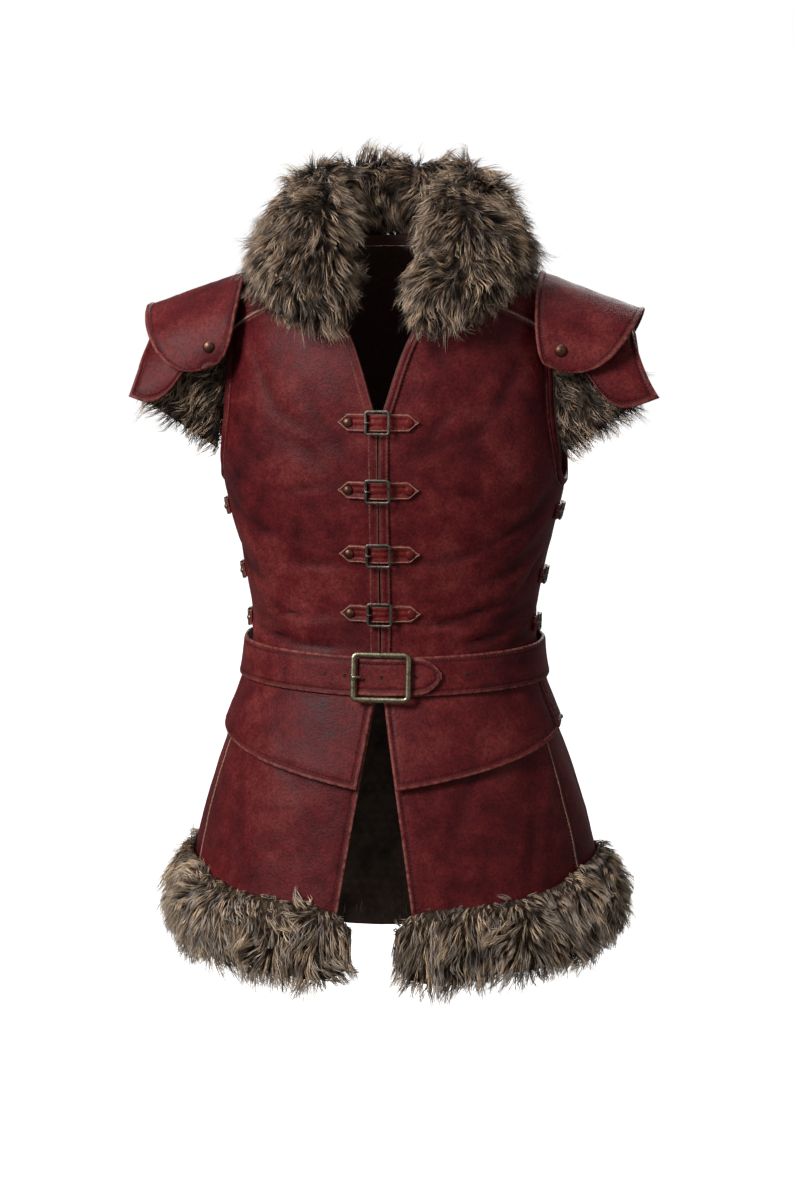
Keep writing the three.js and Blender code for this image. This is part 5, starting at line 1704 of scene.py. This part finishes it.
def hem_pelt(start, end, stations, rounded_start):
    """The fur hem's pelt: a flatter roll inside the one that the hair fills."""
    hair_room, thickness, corners = 14, 18, 24
    shares = rows_of(stations)
    angle = mix(start, end, shares)
    opening = np.clip(shares * 5.2, 0.1, 1) if rounded_start else np.ones_like(shares)
    size = np.sqrt(opening * (2 - opening))
    turns = np.linspace(0, len(FUR_SECTION) - 1, corners, endpoint=False)[None, :]
    steps = np.arange(len(FUR_SECTION))
    up = np.interp(turns, steps, [point.up for point in FUR_SECTION])
    out = np.interp(turns, steps, [point.out for point in FUR_SECTION])
    top, bottom = hem(angle, "fur_top") - hair_room, hem(angle, "fur_bottom") + hair_room
    middle = (top + bottom) / 2
    height = middle + (mix(bottom, top, up) - middle) * size
    if rounded_start:
        height = height - CORNER_DROP * (1 - up) * smooth_step(1 - shares / 0.5)
    spread = angle + 0 * height
    points = body_point(spread, height, 1.8 + out * thickness * size)
    normals = grid_normals(points, points - points.mean(axis=1, keepdims=True), closed=True)
    at_start = np.clip(1 - shares * 9, 0, 1) if rounded_start else 0 * shares
    comb = np.array([0.0, 0.0, -1.0]) + form_normal(spread, height) * 0.15
    comb = comb - unit(np.gradient(points, axis=0)) * (0.4 * at_start)[..., None]
    comb = comb + 0.5 * np.stack([rolling(points, 55, seed) for seed in (71, 72, 73)], -1)
    behind = (out < 0.05) & (up > 0.01)
    cover = np.where(behind, np.where(height > hem(spread, "leather_edge") - 6, 0, 0.7), 1)
    lean = 1.25 + 0.45 * rolling(points, 38, 74) - 0.3 * smooth_step((up - 0.8) / 0.2)
    reach = (0.94 + 0.14 * rolling(points, 34, 75)) * mix(1, 0.5, smooth_step((up - 0.7) / 0.3))
    values = pelt_values(points, normals, comb, lean, cover, reach)
    return lofted("pelt", points, False, values=values)


def sleeve_pelt(sign):
    rows = np.linspace(-1, 1, 44)[:, None]
    angle, height = armhole_edge(rows * math.radians(132))
    edge = form_point(angle, height)
    columns = np.linspace(0, 1, 14)

    def layer(share, side_inset, top_inset, lift):
        start = edge.copy()
        start[..., 1] -= np.sign(start[..., 1]) * np.minimum(side_inset, np.abs(start[..., 1]))
        start[..., 2] += (ARMHOLE_HEIGHT - start[..., 2]) * top_inset / ARMHOLE_HALF_HEIGHT
        start[..., 0] += 12 - np.abs(rows) * 4
        rim_x = 264 + 24 * np.abs(rows) ** 1.5 - 10
        rim = arch_point(LOWER_CAP, rim_x, rows * LOWER_CAP.radius * math.radians(91), lift)
        return mix(start, rim, share)

    outer = [layer(share, 6, 14, -15.0) for share in columns]
    inner = [layer(share, 10, 18, -24.0) for share in columns[::-1]]
    points = np.stack([ring[:, 0] for ring in outer + inner], axis=1)
    normals = grid_normals(points, points - points.mean(axis=1, keepdims=True), closed=True)
    uneven = np.stack([rolling(points, 50, seed) for seed in (81, 82, 83)], -1)
    comb = np.array([0.75, 0.0, -0.85]) + 0.45 * uneven
    share = np.concatenate([columns, columns[::-1]])[None, :]
    hidden = np.repeat([0.45, 0.1], len(columns))[None, :]
    below_cap = smooth_step((np.abs(rows) - 0.36) / 0.14)
    cover = np.maximum(smooth_step((share - hidden) / 0.3), below_cap)
    lean = 1.5 + 0.3 * rolling(points, 40, 84)
    reach = 0.85 + 0.12 * rolling(points, 36, 85)
    values = pelt_values(points, normals, comb, lean, cover, reach)
    for label in ("grow", "droop"):
        values[label] = mirrored(values[label], sign)
    return lofted("pelt", mirrored(points, sign), False, values=values)


# Finished pieces


def cut_piece(node, shell, hide="oxblood_cowhide", back="flesh_side", slot="oxblood_leather"):
    """A leather or cloth wall in place of its solid."""
    piece = finish_piece(shell.piece(f"{node}_cut", finish(hide), finish(back)), slot, node)


def sewn(name, lines, slot="oxblood_leather", width=0.001):
    """Saddle stitches along several lines, as one piece."""
    piece = grown(name, lines_mesh(name, lines), "Saddle stitching", {
        "Pitch": bpy.context.scene.vest_leather.stitch_pitch, "Thread width": width,
        "Thread": finish("linen_thread"),
    })
    finish_piece(piece, slot)


def piped(name, lines, radius, material, slot="oxblood_leather"):
    """A fine roll along several lines, as one piece."""
    roll = {"Radius": radius * MM, "Cover": finish(material)}
    finish_piece(grown(name, lines_mesh(name, lines), "Piping", roll), slot)


def edge_lines(shell, edges, inset, ends=("first", "last")):
    proud = 0.25
    return [shell.inset_line(edge, inset, proud, ends) for edge in edges]


def turned_edge(shell, edge):
    """Where a sewn edge is turned under, sunk in the flesh side of its seam."""
    inset, sunk = 0.1, -1.4
    return shell.inset_line(edge, inset, sunk)


class VestPiece:
    bl_options = {"REGISTER", "UNDO"}


class VEST_OT_body_panels(VestPiece, bpy.types.Operator):
    """Cuts the front and back panels and sews their seams"""

    bl_idname = "vest.body_panels"
    bl_label = "Body panels"

    def execute(self, context):
        thickness = context.scene.vest_leather.hide_thickness / MM
        lines, seams = [], []
        for side, sign in SIDES:
            front, back = front_panel(sign, thickness), back_panel(sign, thickness)
            cut_piece(f"front_panel_{side}", front)
            cut_piece(f"back_panel_{side}", back)
            lines += edge_lines(front, ["top"], SEAM_STITCH, ())
            lines += edge_lines(back, ["start", "top"], SEAM_STITCH, ())
            seams.append(turned_edge(front, "top"))
            seams += [turned_edge(back, edge) for edge in ("top", "end")]
        seams.append(turned_edge(back, "start"))
        sewn("panel_stitches", lines)
        piped("turned_seams", seams, TURNED_RADIUS, "flesh_side")
        return {"FINISHED"}


class VEST_OT_yokes(VestPiece, bpy.types.Operator):
    """Cuts the two halves of the yoke, with piping in the front seams"""

    bl_idname = "vest.yokes"
    bl_label = "Yokes"

    def execute(self, context):
        thickness = context.scene.vest_leather.hide_thickness / MM
        lines, seams = [], []
        for side, sign in SIDES:
            cut = yoke(sign, thickness)
            cut_piece(f"yoke_{side}", cut)
            lines += edge_lines(cut, ["bottom", "top"], SEAM_STITCH, ())
            seams.append(cut.inset_line("bottom", 0.2, 1.0))
        sewn("yoke_stitches", lines)
        piped("yoke_piping", seams, 1.7, "worn_piping")
        piped("yoke_turned_seam", [turned_edge(cut, "top")], TURNED_RADIUS, "flesh_side")
        return {"FINISHED"}


class VEST_OT_collar_stand(VestPiece, bpy.types.Operator):
    """Cuts the low band inside the back neck"""

    bl_idname = "vest.collar_stand"
    bl_label = "Collar stand"

    def execute(self, context):
        stand = collar_stand()
        cut_piece("collar_stand", stand)
        sewn("stand_stitches", edge_lines(stand, ["top"], SEAM_STITCH))
        return {"FINISHED"}


class VEST_OT_edge_bands(VestPiece, bpy.types.Operator):
    """Cuts the bands along the closure and the neck, and the rolls round the armholes"""

    bl_idname = "vest.edge_bands"
    bl_label = "Front and armhole bands"

    def execute(self, context):
        lines, rims = [], []
        for side, sign in SIDES:
            band = front_band(sign)
            cut_piece(f"front_band_{side}", band)
            lines += edge_lines(band, ["end"], 1.6)
            rims.append(band.inset_line("start", 1.6, 0.1))
            roll = armhole_band(sign, f"armhole_band_{side}_roll", finish("oxblood_cowhide"))
            finish_piece(roll, "oxblood_leather", f"armhole_band_{side}")
        sewn("band_stitches", lines)
        piped("band_rims", rims, 0.7, "linen_thread")
        return {"FINISHED"}


class VEST_OT_shoulder_caps(VestPiece, bpy.types.Operator):
    """Cuts the layered shoulder caps, with their rolled edges, stitches and rivets"""

    bl_idname = "vest.shoulder_caps"
    bl_label = "Shoulder caps"

    def execute(self, context):
        thickness = context.scene.vest_leather.hide_thickness / MM
        lines = []
        for side, sign in SIDES:
            upper, lower = cap_upper(sign, thickness), cap_lower(sign, thickness)
            cut_piece(f"cap_upper_{side}", upper)
            cut_piece(f"cap_lower_{side}", lower)
            lines += edge_lines(upper, ALL_EDGES, LIP_STITCH)
            lines += edge_lines(lower, ["end", "bottom", "top"], LIP_STITCH)
            at = arch_point(UPPER_CAP, CAP_RIVET.x, CAP_RIVET.arc, CAP_RIVET.lift)
            place = mirrored(at, sign), np.array([0.0, -1.0, 0.0])
            head = rivet_head(CAP_RIVET.radius)
            rivet = heads(f"cap_rivet_{side}_head", [place], head, "browned_bronze")
            finish_piece(rivet, "pewter", f"cap_rivet_{side}")
        sewn("cap_stitches", lines)
        return {"FINISHED"}


class VEST_OT_peplum(VestPiece, bpy.types.Operator):
    """Cuts the three peplum flaps with bound and stitched edges"""

    bl_idname = "vest.peplum"
    bl_label = "Peplum"

    def execute(self, context):
        thickness = context.scene.vest_leather.hide_thickness / MM
        flaps = [(f"peplum_{side}", peplum_front(sign, thickness)) for side, sign in SIDES]
        flaps.append(("peplum_back", peplum_back(thickness)))
        lines = []
        for node, flap in flaps:
            cut_piece(node, flap)
            lines += edge_lines(flap, ["start", "end", "bottom"], LIP_STITCH)
        sewn("peplum_stitches", lines)
        return {"FINISHED"}


class VEST_OT_skirt(VestPiece, bpy.types.Operator):
    """Cuts the skirt panels and the lining that shows inside them"""

    bl_idname = "vest.skirt"
    bl_label = "Skirt and lining"

    def execute(self, context):
        leather = context.scene.vest_leather
        thickness = leather.hide_thickness / MM
        back = skirt_back(thickness)
        cut_piece("skirt_back", back)
        lines, seams = edge_lines(back, ["start", "end"], SEAM_STITCH, ()), []
        for side, sign in SIDES:
            front = skirt_front(sign, thickness)
            cut_piece(f"skirt_{side}", front)
            lines += edge_lines(front, ["start"], LIP_STITCH, ())
            lines += edge_lines(front, ["end"], SEAM_STITCH, ())
            seams.append(front.inset_line("end", 0.2, 0.4))
        lining = skirt_lining(leather.lining_thickness / MM)
        cut_piece("skirt_lining", lining, "cotton_lining", "cotton_lining", "lining_cloth")
        inside, beside_centre = [], (58, 61)
        for column in beside_centre:
            inward = -lining.normal[:, column]
            inside.append((lining.inner[:, column] + inward * 0.3, inward))
        sewn("lining_stitches", inside, "lining_cloth", 0.0012)
        sewn("skirt_stitches", lines)
        piped("skirt_piping", seams, 1.0, "worn_piping")
        return {"FINISHED"}


class VEST_OT_belt(VestPiece, bpy.types.Operator):
    """Makes the belt, its overlapping end, its punched holes and its buckle"""

    bl_idname = "vest.belt"
    bl_label = "Belt"

    def execute(self, context):
        loop, tail = belt_loop(), belt_end()
        cut_piece("belt", loop)
        cut_piece("belt_end", tail)
        lines = edge_lines(loop, ["bottom", "top"], BELT_STITCH, ())
        sewn("belt_stitches", lines + edge_lines(tail, ["bottom", "top"], BELT_STITCH))
        places = []
        for x in BELT_HOLES:
            on_tail = BELT_TUCK < x < BELT_TIP
            lift = BELT_LIFT + BELT_THICKNESS * (2 if on_tail else 1) + on_tail
            angle = angle_across(x, WAIST)
            height = waist_seam(angle)
            places.append((body_point(angle, height, lift - 0.15), form_normal(angle, height)))
        # The holes are dark cups on the belt: painted shade for the dark inside each hole
        holes = heads("belt_holes", places, turned_head(HOLE_PROFILE, 12), "punched_hole")
        finish_piece(holes, "oxblood_leather")
        off_centre, lift = 3, BELT_LIFT + 2 * BELT_THICKNESS + 2.4
        place = placed(angle_across(off_centre, WAIST), WAIST, lift)
        cast = buckle("belt_buckle_cast", place, (70, 58), 6.4, 4.6, finish("antique_brass"))
        finish_piece(cast, "old_brass", "belt_buckle")
        return {"FINISHED"}


class VEST_OT_front_fastenings(VestPiece, bpy.types.Operator):
    """Makes the four buckled straps, each with a rivet and a leather-covered stud"""

    bl_idname = "vest.front_fastenings"
    bl_label = "Front fastenings"

    def execute(self, context):
        thickness = context.scene.vest_leather.strap_thickness / MM
        tab_end, billet_end, rim_inset, rim_radius, lift = -12.2, -10.4, 1.3, 0.55, 9.6
        rims = []
        for number, height in enumerate(STRAP_HEIGHTS, start=1):
            straps = {
                f"front_tab_{number}": front_strap(height, -STRAP_TIP, tab_end, thickness),
                f"front_billet_{number}": front_strap(height, STRAP_TIP, billet_end, thickness),
            }
            for node, strap in straps.items():
                cut_piece(node, strap, "strap_cowhide", slot="strap_leather")
                rims += edge_lines(strap, ["bottom", "top"], rim_inset, ())
            place, head = head_place(-RIVET_AT, height, thickness), rivet_head(RIVET_RADIUS)
            rivet = heads(f"front_rivet_{number}_head", [place], head, "browned_bronze")
            finish_piece(rivet, "pewter", f"front_rivet_{number}")
            place, name = placed(0, height, lift), f"front_buckle_{number}"
            cast = buckle(name + "_cast", place, (30, 29), 3.4, 3.0, finish("cast_pewter"))
            finish_piece(cast, "pewter", name)
        places = [head_place(RIVET_AT, height, thickness) for height in STRAP_HEIGHTS]
        studs = heads("front_billet_heads", places, rivet_head(RIVET_RADIUS), "strap_cowhide")
        finish_piece(studs, "strap_leather")
        piped("strap_rims", rims, rim_radius, "worn_piping", "strap_leather")
        return {"FINISHED"}


class VEST_OT_side_fastenings(VestPiece, bpy.types.Operator):
    """Makes the three small buckled straps across each side seam"""

    bl_idname = "vest.side_fastenings"
    bl_label = "Side fastenings"

    def execute(self, context):
        thickness = context.scene.vest_leather.strap_thickness / MM
        stitch_inset, stud_radius, stud_lift = 2.8, 4, 1.1
        buckle_turn, stud_turn = QUARTER - math.radians(1), QUARTER - math.radians(6.5)
        lines = []
        for side, sign in SIDES:
            for number, height in enumerate(SIDE_HEIGHTS, start=1):
                node = f"side_fastening_{side}_{number}"
                strap = side_strap(sign, height, thickness)
                cut_piece(node, strap, "strap_cowhide", slot="strap_leather")
                lines += edge_lines(strap, ["bottom", "top"], stitch_inset)
                place = placed(sign * buckle_turn, height, 3)
                cast = buckle(node + "_buckle", place, (22, 21), 2.8, 3.2, finish("cast_pewter"))
                spot = (sign * stud_turn, height)
                at = body_point(*spot, stud_lift + thickness), form_normal(*spot)
                stud = heads(node + "_stud", [at], rivet_head(stud_radius), "cast_pewter")
                finish_piece(joined(node + "_metal", [cast, stud]), "pewter")
        sewn("side_stitches", lines, "strap_leather", 0.0008)
        return {"FINISHED"}


class VEST_OT_fur_collar(VestPiece, bpy.types.Operator):
    """Grows the two halves of the fur collar"""

    bl_idname = "vest.fur_collar"
    bl_label = "Fur collar"

    def execute(self, context):
        for side, sign in SIDES:
            furred(f"fur_collar_{side}", collar_pelt(sign), 5.0, 10 + sign, off_shoulders)
        return {"FINISHED"}


class VEST_OT_fur_sleeves(VestPiece, bpy.types.Operator):
    """Grows the fur under the shoulder caps"""

    bl_idname = "vest.fur_sleeves"
    bl_label = "Fur sleeves"

    def execute(self, context):
        for side, sign in SIDES:
            furred(f"fur_sleeve_{side}", sleeve_pelt(sign), 6.0, 20 + sign, under_cap, 0.8)
        return {"FINISHED"}


class VEST_OT_fur_hem(VestPiece, bpy.types.Operator):
    """Grows the fur along the skirt's lower edge"""

    bl_idname = "vest.fur_hem"
    bl_label = "Fur hem"

    def execute(self, context):
        # The hem's fur is painted paler than the collar's and sleeves', to make up for the shade under
        # the hem
        gap, painted_lighter = math.radians(0.1), "long_fur_paler"
        opening = front_angle(hem(0, "fur_top"), -FUR_PAST_EDGE)
        for side, sign in SIDES:
            pelt = hem_pelt(sign * opening, sign * (SKIRT_SEAM - gap), 34, True)
            clear = partial(off_skirt, side=sign)
            furred(f"fur_hem_{side}", pelt, 5.4, 30 + sign, clear, hair=painted_lighter)
        pelt = hem_pelt(SKIRT_SEAM + gap, 2 * math.pi - SKIRT_SEAM - gap, 72, False)
        furred("fur_hem_back", pelt, 7.2, 30, off_skirt, hair=painted_lighter)
        return {"FINISHED"}


class VEST_OT_stage(VestPiece, bpy.types.Operator):
    """Sets the pale floor, the soft studio light and the camera"""

    bl_idname = "vest.stage"
    bl_label = "Stage"

    def execute(self, context):
        stage = context.scene.vest_stage
        pale_floor(stage.floor)
        for light in STUDIO_LIGHTS:
            soft_light(light)
        studio = bpy.data.worlds.new("Studio")
        studio.use_nodes = True
        tree = studio.node_tree
        tree.nodes.clear()
        seen = add(tree, "ShaderNodeLightPath").outputs["Is Camera Ray"]
        strength = add(tree, RANGE, {"Value": seen, "To Min": stage.room_light, "To Max": 1.0})
        glow = {"Color": (1.0, 1.0, 1.0, 1.0), "Strength": strength}
        glow = add(tree, "ShaderNodeBackground", glow)
        add(tree, "ShaderNodeOutputWorld", {"Surface": glow})
        context.scene.world = studio
        context.scene.view_settings.view_transform = "Standard"
        aim = Vector((0.003, 0, -0.386))
        rise, turn = stage.elevation, stage.azimuth
        level = math.cos(rise)
        back = Vector((math.sin(turn) * level, -math.cos(turn) * level, math.sin(rise)))
        camera = placed_object("Camera", bpy.data.cameras.new("Camera"))
        camera.data.lens = stage.lens
        camera.location = Vector((0.003, 0, -0.36)) + back * stage.distance
        camera.rotation_euler = (aim - camera.location).to_track_quat("-Z", "Y").to_euler()
        context.scene.camera = camera
        return {"FINISHED"}


def pale_floor(colour):
    """A wide paper floor well below the hanging vest, lit evenly, that throws no light back."""
    low, reach = -1600, 14000
    corners = [(x * reach, y * reach, low) for x, y in ((-1, -1), (1, -1), (1, 1), (-1, 1))]
    mesh = mesh_of("floor", corners, [(0, 1, 2, 3)])
    material, tree, _ = new_material("matt_studio_paper")
    finished(material, tree, {
        "Base Color": colour, "Roughness": 1.0, "Specular IOR Level": 0.0,
        "Emission Color": colour, "Emission Strength": 1.1,
    })
    floor = placed_object("floor", mesh, (material,))
    floor.visible_diffuse = False
    floor.visible_glossy = False


def soft_light(light):
    lamp = bpy.data.lights.new(light.name, "AREA")
    lamp.shape = "RECTANGLE"
    lamp.size, lamp.size_y = light.wide, light.high
    lamp.energy = light.watts
    holder = placed_object(light.name, lamp)
    holder.location = light.x, light.y, light.z
    aim = Vector((0, 0, -0.35)) - holder.location
    holder.rotation_euler = aim.to_track_quat("-Z", "Y").to_euler()


OPERATORS = (
    VEST_OT_body_panels, VEST_OT_yokes, VEST_OT_collar_stand, VEST_OT_edge_bands,
    VEST_OT_shoulder_caps, VEST_OT_peplum, VEST_OT_skirt, VEST_OT_belt, VEST_OT_front_fastenings,
    VEST_OT_side_fastenings, VEST_OT_fur_collar, VEST_OT_fur_sleeves, VEST_OT_fur_hem, VEST_OT_stage,
)
GROUPS = {
    "vest_leather": VestLeather, "vest_fur": VestFur, "vest_metal": VestMetal, "vest_stage": VestStage,
}


class VEST_PT_pieces(bpy.types.Panel):
    """Lists the vest's pieces and the sizes and colours behind them"""

    bl_idname = "VEST_PT_pieces"
    bl_label = "Leather vest"
    bl_space_type = "VIEW_3D"
    bl_region_type = "UI"
    bl_category = "Vest"

    def draw(self, context):
        for operator in OPERATORS:
            self.layout.operator(operator.bl_idname)
        for label, group in GROUPS.items():
            box = self.layout.box()
            for name in group.__annotations__:
                box.prop(getattr(context.scene, label), name)


def register():
    for label, group in GROUPS.items():
        bpy.utils.register_class(group)
        setattr(bpy.types.Scene, label, bpy.props.PointerProperty(type=group))
    for kind in (*OPERATORS, VEST_PT_pieces):
        bpy.utils.register_class(kind)


def unregister():
    for kind in (VEST_PT_pieces, *reversed(OPERATORS)):
        bpy.utils.unregister_class(kind)
    for label, group in GROUPS.items():
        delattr(bpy.types.Scene, label)
        bpy.utils.unregister_class(group)


def main():
    register()
    for operator in OPERATORS:
        getattr(bpy.ops.vest, operator.bl_idname.split(".")[1])()


if __name__ == "__main__":
    main()
